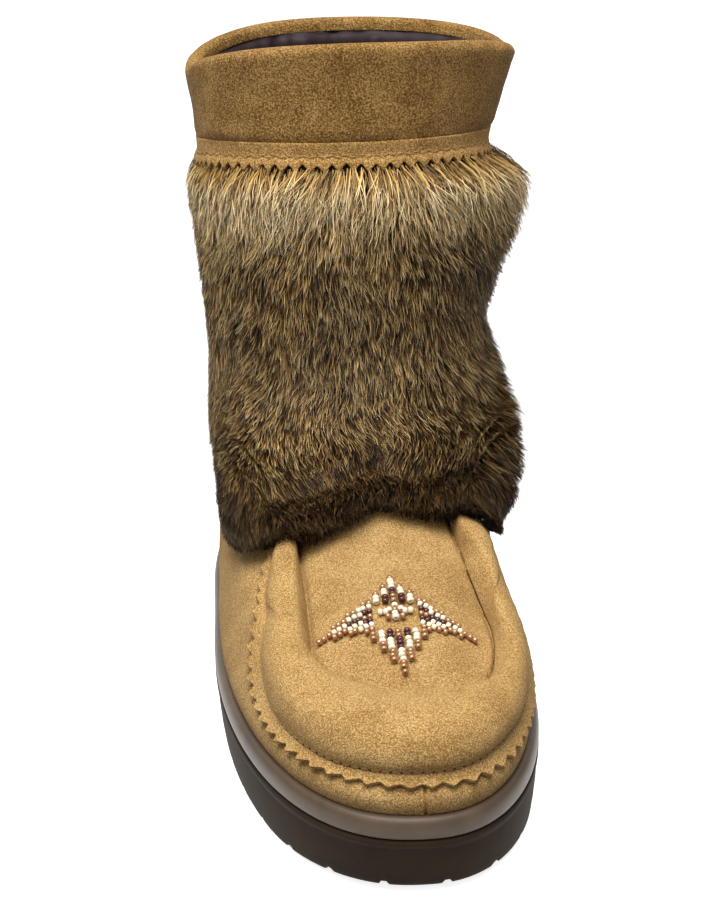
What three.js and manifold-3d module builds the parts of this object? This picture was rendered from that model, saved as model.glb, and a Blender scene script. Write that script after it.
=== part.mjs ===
// A mukluk boot for the right foot, in millimetres. Toe towards -Y, medial side towards +X, +Z up.
// The origin is on the ground, under the middle of the boot.
import * as THREE from "three";
import { mergeVertices } from "three/addons/utils/BufferGeometryUtils.js";
import Module from "manifold-3d";

const wasm = await Module();
wasm.setup();

// Driving dimensions
const SOLE_LENGTH = 282;
const BALL_WIDTH = 111;
const SHAFT_WIDTH = 98;
const BOOT_HEIGHT = 230;
const INSTEP_HEIGHT = 82;
const SOLE_HEIGHT = 27;
const HEEL_LIFT = 3;
const TOE_SPRING = 4;
const ARCH_RISE = 3;
const RIM_BAND = 7;
const RIM_ROUND = 2.4;
const SIDE_DRAFT = 1.6;
const TREAD_BEVEL = 3.4;
const LIP_HEIGHT = 2.2;
const LIP_REACH = 0.9;
const UPPER_WALL = 2.2;
const FEATHER_INSET = 2.5;
const INSOLE_THICKNESS = 4;
const INSOLE_ROOM = 2.1;
const CLEARANCE = 0.3;
const APRON_THICKNESS = 1.6;
const APRON_ROLL = 5;
const APRON_GAP = 0.6;
const TOE_PINK_PITCH = 6.4;
const TOE_PINK_DEPTH = 2.6;
const COLLAR_THICKNESS = 2;
const COLLAR_TURN_IN = 9;
const TRIM_THICKNESS = 1.5;
const TRIM_PINK_PITCH = 4.9;
const TRIM_PINK_DEPTH = 2.4;
const LUG_PITCH = 16.5;
const LUG_GAP = 3;
const LUG_DEPTH = 3;
const LUG_LENGTH = 12;
const BEAD_PITCH = 1.75;
const STRING_PITCH = 2.5;
const BEAD_HEIGHT = 1.9;
const BEAD_GAP = 0.5;
const STAR_PLACE = -67;
const STAR_DROOP = 0.3;
const ARM_START = 7.5;
const FUR_DEPTH = 12;
const FUR_GAP = 0.7;
const LOCK_LENGTH = 24;
const LOCK_WIDTH = 12;
// The middle of the boot lies this far to the medial side of the last's centre line.
const ORIGIN_X = 5.5;

const HALF_LENGTH = SOLE_LENGTH / 2;
const HALF_WIDTH = BALL_WIDTH / 2;
const TURN = 2 * Math.PI;
const DEGREE = Math.PI / 180;

// Rings of the upper from the feather line to the collar. Each ring has a toe, medial, lateral and
// heel point: X in half widths of the foot, or of the shaft from SHAFT_START on, Y in half lengths of
// the foot, Z from 0 at the sole to 1 at the instep and 2 at the collar. The round columns are the
// exponents of the quarter curves between the points.
const RING_COLUMNS = [
  "toeX", "toeY", "toeZ", "medX", "medY", "medZ", "latX", "latY", "latZ",
  "heelX", "heelY", "heelZ", "roundM", "roundL", "roundH", "waist",
];
const RINGS = [
  [0.147, -1, 0, 1, -0.255, 0, -1.003, 0.041, 0, 0, 0.998, 0, 2.2, 2.35, 2.6, 1],
  [0.147, -0.998, 0.1, 0.995, -0.244, 0.16, -1.003, 0.041, 0.18, 0, 0.993, 0.35, 2.2, 2.35, 2.6, 1],
  [0.147, -0.971, 0.17, 0.963, -0.214, 0.33, -0.963, 0.051, 0.38, 0, 0.972, 0.64, 2.15, 2.3, 2.55, 0.9],
  [0.147, -0.939, 0.28, 0.911, -0.163, 0.47, -0.911, 0.061, 0.55, 0.01, 0.942, 0.93, 2.1, 2.2, 2.5, 0.8],
  [0.147, -0.876, 0.36, 0.874, -0.071, 0.64, -0.864, 0.092, 0.71, 0.021, 0.911, 1.09, 2.05, 2.15, 2.45, 0.6],
  [0.136, -0.723, 0.4, 0.859, 0.061, 0.84, -0.843, 0.163, 0.89, 0.031, 0.891, 1.19, 2.05, 2.1, 2.4, 0.4],
  [0.126, -0.577, 0.51, 0.869, 0.183, 1.01, -0.84, 0.244, 1.03, 0.042, 0.876, 1.28, 2, 2.05, 2.35, 0.2],
  [0.115, -0.433, 0.64, 0.885, 0.285, 1.1, -0.848, 0.326, 1.1, 0.052, 0.865, 1.37, 2, 2, 2.3, 0.1],
  [0.115, -0.26, 0.76, 0.906, 0.377, 1.18, -0.859, 0.397, 1.18, 0.052, 0.857, 1.45, 2, 2, 2.25, 0],
  [0.113, -0.087, 0.96, 1, 0.428, 1.26, -0.94, 0.438, 1.26, 0.068, 0.851, 1.51, 2, 2, 2.2, 0],
  [0.113, 0.031, 1.11, 1.019, 0.458, 1.36, -0.951, 0.458, 1.36, 0.079, 0.847, 1.57, 2, 2, 2.2, 0],
  [0.102, 0.087, 1.28, 1.042, 0.478, 1.46, -0.963, 0.478, 1.46, 0.079, 0.845, 1.63, 2.05, 2.05, 2.15, 0],
  [0.102, 0.102, 1.5, 1.076, 0.478, 1.6, -0.98, 0.478, 1.6, 0.079, 0.845, 1.69, 2.1, 2.1, 2.1, 0],
  [0.091, 0.108, 1.75, 1.121, 0.478, 1.72, -1.01, 0.478, 1.715, 0.079, 0.845, 1.743, 2.1, 2.1, 2.1, 0],
  [0.091, 0.108, 1.83, 1.153, 0.478, 1.797, -1.019, 0.478, 1.79, 0.079, 0.845, 1.818, 2.1, 2.1, 2.1, 0],
  [0.091, 0.108, 2.009, 1.308, 0.478, 1.976, -1.056, 0.478, 1.946, 0.079, 0.851, 2, 2.1, 2.1, 2.1, 0],
];
// How late a ring climbs from its end to its side: the higher, the rounder the foot is across.
const CROWN = 2.4;
const TOP_RING = RINGS.length - 1;
const SHAFT_START = 9;
const TRIM_RING = 13;
const SEAM_RING = 14;

// The apron's two edges, from the lateral rear round the toe to the medial rear. Angles are degrees
// round the boot from the toe, medial side positive, and rings are places in the table above.
const APRON_COLUMNS = ["edgeAngle", "edgeRing", "grooveAngle", "grooveRing"];
const APRON = [
  [-48, 7.0, -35.5, 8.0],
  [-53.5, 6.3, -36, 7.6],
  [-61, 4.6, -36, 6.5],
  [-62, 3.2, -36, 5.6],
  [-58.5, 2.2, -35, 5.1],
  [-52, 1.55, -30.5, 4.85],
  [-43, 1.35, -23, 4.85],
  [-32, 1.35, -15, 4.9],
  [-18, 1.5, -7, 4.9],
  [-5, 1.55, 0, 4.9],
  [8, 1.45, 8, 4.85],
  [20, 1.3, 19, 4.6],
  [33, 1.2, 32, 4.2],
  [45, 1.15, 43, 4.0],
  [56, 1.2, 51, 3.95],
  [64, 1.7, 56, 4.3],
  [68, 2.7, 57, 5.0],
  [67, 4.1, 55, 5.7],
  [61, 5.6, 50, 6.7],
  [54, 6.8, 46, 7.4],
];
// Height of the apron's outer face from the pinked edge to the groove: place across, share of the
// sheet's thickness, share of the roll.
const APRON_SECTION = [
  [0, 1, 0],
  [0.16, 0.85, 0],
  [0.32, 1, 0.25],
  [0.5, 1, 0.7],
  [0.68, 1, 0.75],
  [0.86, 1, 0.5],
  [1, 0.4, 0],
];

// Fur: place up the cuff, then its depth on the toe, medial, lateral and heel sides in fur depths.
const FUR_COLUMNS = ["up", "toe", "medial", "lateral", "heel"];
const FUR = [
  [0, 0.85, 0.9, 0.8, 0.35],
  [0.05, 1.0, 1.35, 1.0, 0.45],
  [0.1, 0.75, 1.3, 0.8, 0.4],
  [0.2, 1.1, 1.6, 1.0, 0.7],
  [0.34, 0.9, 1.05, 0.75, 0.75],
  [0.5, 0.55, 0.25, 0.4, 0.65],
  [0.64, 0.7, 0.7, 0.5, 0.75],
  [0.8, 0.95, 1.35, 0.75, 0.85],
  [0.93, 0.85, 1.3, 0.8, 0.75],
  [1, 0.35, 0.5, 0.35, 0.35],
];
// Ring of the cuff's hem at every 45 degrees from the toe, medial then lateral.
const HEM_MEDIAL = [8.3, 7.0, 4.4, 2.9, 2.0];
const HEM_LATERAL = [8.3, 6.6, 4.1, 2.8, 2.0];

// How many beads each string of a star's arm has, from one side of the arm to the other.
const LONG_ARM = [2, 5, 8, 11, 8, 5, 2];
const SHORT_ARM = [1, 3, 5, 8, 5, 3, 1];

const lerp = (a, b, t) => a + (b - a) * t;
const clamp = (v, a, b) => Math.min(b, Math.max(a, v));
const smooth = (t) => t * t * (3 - 2 * t);
const sum = (list) => list.reduce((a, b) => a + b, 0);

// Catmull-Rom through the rows of a table at a place that may lie between two rows.
function between(table, place) {
  const last = table.length - 1;
  const at = clamp(place, 0, last);
  const i = Math.min(Math.floor(at), last - 1);
  const t = at - i;
  const p0 = table[Math.max(i - 1, 0)];
  const p1 = table[i];
  const p2 = table[i + 1];
  const p3 = table[Math.min(i + 2, last)];
  return p1.map((b, k) => {
    const [a, c, d] = [p0[k], p2[k], p3[k]];
    const bend = 2 * a - 5 * b + 4 * c - d;
    const twist = 3 * b - a - 3 * c + d;
    return 0.5 * (2 * b + (c - a) * t + bend * t * t + twist * t ** 3);
  });
}

const named = (columns, row) => Object.fromEntries(columns.map((name, k) => [name, row[k]]));

// Straight steps through a table whose first column rises from 0 to 1.
function along(table, share) {
  const i = clamp(table.findIndex((row) => row[0] >= share), 1, table.length - 1);
  const [a, b] = [table[i - 1], table[i]];
  const t = (share - a[0]) / (b[0] - a[0]);
  return a.map((v, k) => lerp(v, b[k], t));
}

// The top of the sole is a plane that rises a little from the toe to the heel.
function rimTop(y) {
  return SOLE_HEIGHT + HEEL_LIFT * (y / SOLE_LENGTH + 0.5);
}

// The rings with their X, Y and Z columns turned from shares to millimetres, Z above the sole.
const FOOT_RISE = INSTEP_HEIGHT - SOLE_HEIGHT;
const SHAFT_RISE = BOOT_HEIGHT - INSTEP_HEIGHT;
const FOOT_HALF_LENGTH = HALF_LENGTH - FEATHER_INSET;
const FOOT_HALF_WIDTH = HALF_WIDTH - FEATHER_INSET;
const rise = (share) => Math.min(share, 1) * FOOT_RISE + Math.max(share - 1, 0) * SHAFT_RISE;
function shaped(share, column, ring) {
  if (column.endsWith("X")) return share * (ring < SHAFT_START ? FOOT_HALF_WIDTH : SHAFT_WIDTH / 2);
  if (column.endsWith("Y")) return share * FOOT_HALF_LENGTH;
  return column.endsWith("Z") ? rise(share) : share;
}
const SHAPED_RINGS = RINGS.map((row, ring) => row.map((v, k) => shaped(v, RING_COLUMNS[k], ring)));

// Low points follow the sloping sole, and those above the instep don't.
function heightOf(above, y) {
  const low = Math.max(0, 1 - above / FOOT_RISE);
  return SOLE_HEIGHT + above + (rimTop(y) + CLEARANCE - SOLE_HEIGHT) * low;
}

// Arch: the outline is hollowed between heel and ball, deep on the medial side.
const WAIST_PLACE = 0.2;
const WAIST_SPAN = 0.27;
const WAIST_MEDIAL = 0.13;
const WAIST_LATERAL = 0.03;
function waistAt(y, medial) {
  const t = (y / HALF_LENGTH - WAIST_PLACE) / WAIST_SPAN;
  return (medial ? WAIST_MEDIAL : -WAIST_LATERAL) * HALF_WIDTH * Math.exp(-t * t);
}

// A quarter curve from an end point to a side point, with the exponent that rounds it.
function quarter(end, side, round, angle) {
  const s = Math.abs(Math.sin(angle)) ** (2 / round);
  const c = Math.abs(Math.cos(angle)) ** (2 / round);
  return [lerp(end[0], side[0], s), lerp(side[1], end[1], c)];
}

// The outer face of the upper, as angle round the boot and ring up it.
function surface(angle, ring) {
  const r = named(RING_COLUMNS, between(SHAPED_RINGS, ring));
  const turn = ((angle + Math.PI) % TURN + TURN) % TURN - Math.PI;
  const medial = turn >= 0;
  const a = Math.abs(turn);
  const front = a <= Math.PI / 2;
  const side = medial ? [r.medX, r.medY] : [r.latX, r.latY];
  const end = front ? [r.toeX, r.toeY] : [r.heelX, r.heelY];
  const round = front ? (medial ? r.roundM : r.roundL) : r.roundH;
  const [wide, y] = quarter(end, side, round, a);
  const x = wide - r.waist * waistAt(y, medial) * Math.sin(a) ** 2;
  const q = (front ? a : Math.PI - a) / (Math.PI / 2);
  const above = lerp(front ? r.toeZ : r.heelZ, medial ? r.medZ : r.latZ, q ** CROWN);
  return new THREE.Vector3(x, y, heightOf(above, y));
}

const STEP = 0.02;
function normal(angle, ring) {
  const at = clamp(ring, STEP, TOP_RING - STEP);
  const round = surface(angle + STEP, at).sub(surface(angle - STEP, at));
  const up = surface(angle, at + STEP).sub(surface(angle, at - STEP));
  return round.cross(up).normalize();
}

const offset = (angle, ring, out) => surface(angle, ring).addScaledVector(normal(angle, ring), out);

// Outline of the sole, drawn in by an inset.
const SOLE_END = { toe: [0.14, -1], medial: [1, -0.25], lateral: [-1, 0.04], heel: [0, 1] };
const SOLE_ROUND = { medial: 2.2, lateral: 2.35, heel: 2.6 };
function solePoint(angle) {
  const turn = ((angle + Math.PI) % TURN + TURN) % TURN - Math.PI;
  const medial = turn >= 0;
  const a = Math.abs(turn);
  const front = a <= Math.PI / 2;
  const end = front ? SOLE_END.toe : SOLE_END.heel;
  const side = medial ? SOLE_END.medial : SOLE_END.lateral;
  const round = front ? (medial ? SOLE_ROUND.medial : SOLE_ROUND.lateral) : SOLE_ROUND.heel;
  const [u, v] = quarter(end, side, round, a);
  const y = v * HALF_LENGTH;
  return [u * HALF_WIDTH - waistAt(y, medial) * Math.sin(a) ** 2, y];
}

function outline(angle, inset) {
  const [x, y] = solePoint(angle);
  const [ax, ay] = solePoint(angle - STEP);
  const [bx, by] = solePoint(angle + STEP);
  const length = Math.hypot(bx - ax, by - ay);
  return [x - ((by - ay) / length) * inset, y + ((bx - ax) / length) * inset];
}

// Geometry helpers

function geometryOf(points, triangles) {
  const flat = points.flatMap((p) => [p.x, p.y, p.z]);
  const made = new THREE.BufferGeometry();
  made.setAttribute("position", new THREE.Float32BufferAttribute(flat, 3));
  made.setIndex(signedVolume(points, triangles) < 0 ? triangles.map(([a, b, c]) => [a, c, b]).flat()
    : triangles.flat());
  return made;
}

function signedVolume(points, triangles) {
  return sum(triangles.map(([a, b, c]) => points[a].dot(points[b].clone().cross(points[c])) / 6));
}

function quads(count, rows, closedRows, closedColumns) {
  const faces = [];
  for (let i = 0; i < (closedRows ? rows : rows - 1); i++)
    for (let j = 0; j < (closedColumns ? count : count - 1); j++) {
      const [k, m] = [(i + 1) % rows, (j + 1) % count];
      const [a, b, c, d] = [i * count + j, i * count + m, k * count + m, k * count + j];
      faces.push([a, b, c], [a, c, d]);
    }
  return faces;
}

// A closed cross-section carried round the boot: rings in order, the last joined to the first.
function tyre(rings) {
  return geometryOf(rings.flat(), quads(rings[0].length, rings.length, true, true));
}

// A stack of rings closed by a flat cap at both ends.
function stack(rings) {
  const count = rings[0].length;
  const faces = quads(count, rings.length, false, true);
  const cap = (ring, start, flip) => {
    const flat = ring.map((p) => new THREE.Vector2(p.x, p.y));
    for (const [a, b, c] of THREE.ShapeUtils.triangulateShape(flat, []))
      faces.push(flip ? [start + a, start + c, start + b] : [start + a, start + b, start + c]);
  };
  cap(rings[0], 0, true);
  cap(rings.at(-1), (rings.length - 1) * count, false);
  return geometryOf(rings.flat(), faces);
}

// A sheet with two faces: a closed section of outer then inner points at each place along it.
function strip(sections) {
  const count = sections[0].length;
  const faces = quads(count, sections.length, false, true);
  const last = (sections.length - 1) * count;
  for (let j = 0; j < count / 2 - 1; j++) {
    const [a, b, c, d] = [j, j + 1, count - 2 - j, count - 1 - j];
    faces.push([a, c, b], [a, d, c], [last + a, last + b, last + c], [last + a, last + c, last + d]);
  }
  return geometryOf(sections.flat(), faces);
}

function solid(geometry) {
  const bare = geometry.clone();
  bare.deleteAttribute("normal");
  bare.deleteAttribute("uv");
  const merged = mergeVertices(bare, 1e-3);
  return new wasm.Manifold(new wasm.Mesh({
    numProp: 3,
    vertProperties: merged.attributes.position.array,
    triVerts: new Uint32Array(merged.index.array),
  }));
}

function geometryFrom(made) {
  const mesh = made.getMesh();
  const out = new THREE.BufferGeometry();
  out.setAttribute("position", new THREE.BufferAttribute(mesh.vertProperties, 3));
  out.setIndex(new THREE.BufferAttribute(mesh.triVerts, 1));
  return out;
}

// The largest body of a join, so that a pocket shut in between two locks is filled.
function largest(made) {
  return made.decompose().reduce((a, b) => (b.volume() > a.volume() ? b : a));
}

const around = (count) => Array.from({ length: count }, (_, j) => -Math.PI + (TURN * j) / count);
const steps = (count) => Array.from({ length: count + 1 }, (_, i) => i / count);

// Sole

const SOLE_SIDES = 48;
const grooveHeight = (y) => rimTop(y) - RIM_BAND;

// Underside of the outsole: toe spring, flat forefoot, low arch, flat heel with a worn back edge.
function groundAt(y) {
  const t = y / HALF_LENGTH;
  const spring = TOE_SPRING * smooth(clamp((-0.68 - t) / 0.32, 0, 1));
  const arch = ARCH_RISE * smooth(clamp((t + 0.15) / 0.15, 0, 1)) * smooth(clamp((0.4 - t) / 0.1, 0, 1));
  const back = 0.3 * TOE_SPRING * smooth(clamp((t - 0.88) / 0.12, 0, 1));
  return spring + arch + back;
}

function soleRing(inset, heightAt) {
  return around(SOLE_SIDES).map((angle) => {
    const [x, y] = outline(angle, inset);
    return new THREE.Vector3(x, y, heightAt(y));
  });
}

// The space under the sole as one block whose top follows the underside.
function groundBlock() {
  const reach = HALF_LENGTH * 1.1;
  const places = steps(26).map((t) => lerp(-reach, reach, t));
  const sections = places.map((y) => [
    new THREE.Vector3(-BALL_WIDTH, y, -SOLE_HEIGHT),
    new THREE.Vector3(-BALL_WIDTH, y, groundAt(y)),
    new THREE.Vector3(BALL_WIDTH, y, groundAt(y)),
    new THREE.Vector3(BALL_WIDTH, y, -SOLE_HEIGHT),
  ]);
  return solid(strip(sections));
}

// Places at equal steps round the sole's outline.
function soleStations(pitch) {
  const fine = steps(720).map((t) => -Math.PI + TURN * t);
  const lengths = [0];
  for (let i = 1; i < fine.length; i++) {
    const [ax, ay] = outline(fine[i - 1], 0);
    const [bx, by] = outline(fine[i], 0);
    lengths.push(lengths[i - 1] + Math.hypot(bx - ax, by - ay));
  }
  const total = lengths.at(-1);
  const count = Math.round(total / pitch);
  return Array.from({ length: count }, (_, k) => {
    const want = ((k + 0.5) / count) * total;
    const i = lengths.findIndex((v) => v >= want);
    return lerp(fine[i - 1], fine[i], (want - lengths[i - 1]) / (lengths[i] - lengths[i - 1]));
  });
}

// The cuts between the lugs: short ones all round the edge, long ones across the tread.
function lugCuts() {
  const height = 2 * LUG_DEPTH;
  const edge = soleStations(LUG_PITCH).map((angle) => {
    const [x, y] = outline(angle, 0);
    const [ix, iy] = outline(angle, LUG_LENGTH / 2);
    const box = new THREE.BoxGeometry(LUG_LENGTH + 4, LUG_GAP, height);
    box.rotateZ(Math.atan2(y - iy, x - ix));
    box.translate((x + ix) / 2, (y + iy) / 2, groundAt(y));
    return solid(box);
  });
  const across = steps(9).map((t) => lerp(-0.72, 0.82, t) * HALF_LENGTH).map((y) => {
    const box = new THREE.BoxGeometry(BALL_WIDTH * 0.42, LUG_GAP, height);
    box.translate(0, y, groundAt(y));
    return solid(box);
  });
  return [...edge, ...across];
}

// The outsole has a bevelled tread edge, a side that leans out, and a raised lip under the band.
function outsole() {
  const top = (y) => grooveHeight(y) - CLEARANCE;
  const body = stack([
    soleRing(SIDE_DRAFT + TREAD_BEVEL, () => 0),
    soleRing(SIDE_DRAFT, (y) => groundAt(y) + TREAD_BEVEL),
    soleRing(SIDE_DRAFT * 0.4, (y) => lerp(groundAt(y), top(y), 0.55)),
    soleRing(LIP_REACH, (y) => top(y) - LIP_HEIGHT * 1.35),
    soleRing(0, (y) => top(y) - LIP_HEIGHT),
    soleRing(0, (y) => top(y) - LIP_HEIGHT * 0.4),
    soleRing(LIP_REACH, top),
  ]);
  let made = solid(body).subtract(groundBlock());
  for (const cut of lugCuts()) made = made.subtract(cut);
  return geometryFrom(made);
}

// The lighter band round the foot, with a rounded top edge.
function midsole() {
  return stack([
    soleRing(LIP_REACH, grooveHeight),
    soleRing(LIP_REACH * 0.2, (y) => grooveHeight(y) + RIM_BAND * 0.17),
    soleRing(0, (y) => grooveHeight(y) + RIM_BAND * 0.5),
    soleRing(RIM_ROUND * 0.3, (y) => rimTop(y) - RIM_ROUND * 0.6),
    soleRing(RIM_ROUND, rimTop),
  ]);
}

function insole() {
  const inset = UPPER_WALL + FEATHER_INSET + INSOLE_ROOM;
  const base = (y) => rimTop(y) + CLEARANCE;
  return stack([
    soleRing(inset, base),
    soleRing(inset, (y) => base(y) + INSOLE_THICKNESS * 0.75),
    soleRing(inset + INSOLE_THICKNESS * 0.25, (y) => base(y) + INSOLE_THICKNESS),
  ]);
}

// Upper

const UPPER_SIDES = 44;
const UPPER_RINGS = [0, 1, 2, 3, 4, 5, 6, 7, 8, 9, 11, TRIM_RING, SEAM_RING, TOP_RING];

function upperWall(out) {
  return UPPER_RINGS.map((ring) => around(UPPER_SIDES).map((angle) => {
    const made = offset(angle, ring, out);
    if (ring === 0) made.z = surface(angle, 0).z;
    return made;
  }));
}

function upper() {
  return tyre([...upperWall(0), ...upperWall(-UPPER_WALL).reverse()]);
}

// Apron

const apronAt = (share) => named(APRON_COLUMNS, between(APRON, share * (APRON.length - 1)));

function apronPoint(row, across, out) {
  const angle = lerp(row.edgeAngle, row.grooveAngle, across) * DEGREE;
  return offset(angle, lerp(row.edgeRing, row.grooveRing, across), out);
}

function apronTeeth() {
  const edge = steps(8 * APRON.length).map((share) => apronPoint(apronAt(share), 0, 0));
  const length = sum(edge.slice(1).map((point, i) => point.distanceTo(edge[i])));
  return Math.round(length / TOE_PINK_PITCH);
}

function apron() {
  const sections = steps(2 * apronTeeth()).map((share, k) => {
    const row = apronAt(share);
    const width = apronPoint(row, 0, 0).distanceTo(apronPoint(row, 1, 0));
    const tooth = k % 2 ? 0 : TOE_PINK_DEPTH / width;
    const fade = smooth(clamp(Math.min(share, 1 - share) / 0.12, 0, 1));
    const outer = APRON_SECTION.map(([across, sheet, roll], i) => {
      const out = sheet * APRON_THICKNESS + roll * APRON_ROLL * lerp(0.3, 1, fade);
      return apronPoint(row, i ? across : tooth, APRON_GAP + out);
    });
    const inner = APRON_SECTION.map(([across], i) => apronPoint(row, i ? across : tooth, APRON_GAP));
    return [...outer, ...inner.reverse()];
  });
  return strip(sections);
}

// Fur cuff

const hemRing = (angle) => {
  const turn = Math.abs(((angle + Math.PI) % TURN + TURN) % TURN - Math.PI);
  const medial = Math.sin(angle) >= 0;
  return between((medial ? HEM_MEDIAL : HEM_LATERAL).map((v) => [v]), turn / (Math.PI / 4))[0];
};
const FUR_TOP = TRIM_RING - 0.12;
const SKIRT = APRON_GAP + APRON_THICKNESS + APRON_ROLL * 0.75 + CLEARANCE;

function furDepth(angle, up) {
  const row = named(FUR_COLUMNS, along(FUR, up));
  const side = Math.sin(angle);
  const share = side * side;
  const end = Math.cos(angle) >= 0 ? row.toe : row.heel;
  return FUR_DEPTH * lerp(end, side >= 0 ? row.medial : row.lateral, share);
}

const furRing = (angle, up) => lerp(hemRing(angle), FUR_TOP, up);

function furPoint(angle, up, out) {
  return offset(angle, furRing(angle, up), out);
}

// The upper swollen by the cuff's gap, and with a skirt further out in front, over the apron.
function furCore(skirt) {
  const rings = UPPER_RINGS.map((ring) => around(UPPER_SIDES).map((angle) => {
    const front = smooth(clamp((Math.cos(angle) - 0.1) / 0.5, 0, 1));
    const low = 1 - smooth(clamp((ring - 8) / 2, 0, 1));
    return offset(angle, ring, lerp(FUR_GAP, skirt, front * low));
  }));
  return solid(stack(rings));
}

const FUR_ROOT = -4;
function furBody() {
  const outer = FUR.map(([up]) => around(UPPER_SIDES).map((angle) =>
    furPoint(angle, up, furDepth(angle, up))));
  const root = (up) => around(UPPER_SIDES).map((angle) => furPoint(angle, up, FUR_ROOT));
  return solid(stack([root(0), ...outer, root(1)]));
}

// One lock: a wedge that leaves the fur at its root and tapers down to a point.
function furLock(angle, up, length, width) {
  const middle = furPoint(angle, up, furDepth(angle, up));
  const below = furPoint(angle, up - 0.05, furDepth(angle, up - 0.05));
  const down = below.clone().sub(middle).normalize();
  const out = normal(angle, furRing(angle, up));
  const side = down.clone().cross(out).normalize();
  const place = (fall, across, lift) => middle.clone().addScaledVector(down, fall * length)
    .addScaledVector(side, across * width).addScaledVector(out, lift);
  const thick = width * 0.28;
  const sections = [
    [place(-0.3, -0.2, -4), place(-0.3, 0, -3), place(-0.3, 0.2, -4), place(-0.3, 0, -6)],
    [place(0.1, -0.5, -2), place(0.1, 0, thick), place(0.1, 0.5, -2), place(0.1, 0, -6)],
    [place(0.5, -0.35, -1.5), place(0.5, 0, thick), place(0.5, 0.35, -1.5), place(0.5, 0, -5)],
    [place(0.85, -0.06, 0), place(0.85, 0, 0.6), place(0.85, 0.06, 0), place(0.85, 0, -0.6)],
  ];
  return solid(strip(sections));
}

const LOCK_ROWS = [0.2, 0.5, 0.84];
const LOCKS_ROUND = 12;
function furCuff() {
  let made = furBody();
  LOCK_ROWS.forEach((up, row) => {
    for (let k = 0; k < LOCKS_ROUND; k++) {
      const angle = -Math.PI + (TURN * (k + 0.5 * (row % 2))) / LOCKS_ROUND;
      const vary = 1 + 0.2 * Math.sin(7 * k + 3 * row);
      made = made.add(furLock(angle, up, LOCK_LENGTH * vary, LOCK_WIDTH * vary));
    }
  });
  return geometryFrom(largest(made.subtract(furCore(SKIRT)).subtract(furCore(FUR_GAP))));
}

// Collar

// The collar band runs up outside the upper, over its top edge, and a little way down inside.
function collar() {
  const near = CLEARANCE;
  const far = near + COLLAR_THICKNESS;
  const ringAt = (drop, out, lift) => around(UPPER_SIDES).map((angle) => {
    const top = offset(angle, TOP_RING, out);
    const seam = offset(angle, SEAM_RING, out);
    const made = top.clone().lerp(seam, drop / top.distanceTo(seam));
    made.z += lift;
    return made;
  });
  const seamRing = (out) => around(UPPER_SIDES).map((angle) => offset(angle, SEAM_RING, out));
  const inNear = -UPPER_WALL - near;
  const inFar = -UPPER_WALL - far;
  return tyre([
    seamRing(far),
    ringAt(0, far, 0),
    ringAt(0, far * 0.45, far * 0.85),
    ringAt(0, -UPPER_WALL / 2, far),
    ringAt(0, inFar + far * 0.55, far * 0.85),
    ringAt(1, inFar, 0),
    ringAt(COLLAR_TURN_IN, inFar, 0),
    ringAt(COLLAR_TURN_IN, inNear, 0),
    ringAt(0, inNear, near),
    ringAt(0, near, near),
    seamRing(near),
  ]);
}

// The pinked band below the collar's seam.
function collarTrim() {
  const ring = around(UPPER_SIDES).map((angle) => surface(angle, TRIM_RING));
  const girth = sum(ring.map((point, j) => point.distanceTo(ring[(j + 1) % ring.length])));
  const angles = around(2 * Math.round(girth / TRIM_PINK_PITCH));
  const height = surface(0, SEAM_RING).z - surface(0, TRIM_RING).z;
  const tooth = TRIM_PINK_DEPTH / height;
  const far = CLEARANCE + TRIM_THICKNESS;
  const ringAt = (ring, out, pinked) => angles.map((angle, j) =>
    offset(angle, ring + (pinked && j % 2 ? tooth : 0), out));
  const top = SEAM_RING - (2 * CLEARANCE) / height;
  return tyre([
    ringAt(TRIM_RING, far, true),
    ringAt(top, far, false),
    ringAt(top, CLEARANCE, false),
    ringAt(TRIM_RING, CLEARANCE, true),
  ]);
}

// Beadwork: strings of beads side by side, each a low bar that follows the plug.

function plugPoint(x, y, out) {
  let best = null;
  let [angle, ring] = [0, 6];
  for (let k = 0; k < 12; k++) {
    best = offset(angle, ring, out);
    const da = offset(angle + STEP, ring, out).sub(best);
    const dr = offset(angle, ring + STEP, out).sub(best);
    const det = da.x * dr.y - da.y * dr.x;
    const [ex, ey] = [x - best.x, y - best.y];
    angle += (STEP * (ex * dr.y - ey * dr.x)) / det;
    ring += (STEP * (da.x * ey - da.y * ex)) / det;
  }
  return best;
}

const STAR_X = 0.1 * HALF_WIDTH;

// A string from one place to another, in the star's own plane: u across the foot, v up the foot.
// Strings that run across the foot bend a little towards the toe.
function beadString(from, to) {
  const length = Math.hypot(to[0] - from[0], to[1] - from[1]);
  const [du, dv] = [(to[0] - from[0]) / length, (to[1] - from[1]) / length];
  const half = STRING_PITCH * 0.52;
  const sections = steps(Math.max(1, Math.round(length / (4 * BEAD_PITCH)))).map((t) => {
    const [u, v] = [lerp(from[0], to[0], t), lerp(from[1], to[1], t)];
    const corner = (side, out) => {
      const [cu, cv] = [u - dv * side, v + du * side];
      const droop = STAR_DROOP * Math.max(Math.abs(cu) - ARM_START, 0);
      return plugPoint(STAR_X + cu, STAR_PLACE + cv - droop, out);
    };
    const high = BEAD_GAP + BEAD_HEIGHT;
    return [corner(-half, BEAD_GAP), corner(-half * 0.5, high), corner(half * 0.5, high),
      corner(half, BEAD_GAP)];
  });
  return solid(strip(sections));
}

// The four arms of the star, each a fan of strings, joined where their inner corners touch.
const ARMS = [[0, -1, LONG_ARM], [0, 1, SHORT_ARM], [1, 0, LONG_ARM], [-1, 0, LONG_ARM]];
function beadStar() {
  const bars = ARMS.flatMap(([c, s, strings]) => strings.map((beads, k) => {
    const side = (k - (strings.length - 1) / 2) * STRING_PITCH;
    const place = (reach) => [reach * c - side * s, reach * s + side * c];
    return beadString(place(ARM_START - BEAD_PITCH * (s ? 1 : 0)), place(ARM_START + beads * BEAD_PITCH));
  }));
  return geometryFrom(bars.reduce((a, b) => a.add(b)));
}

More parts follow.
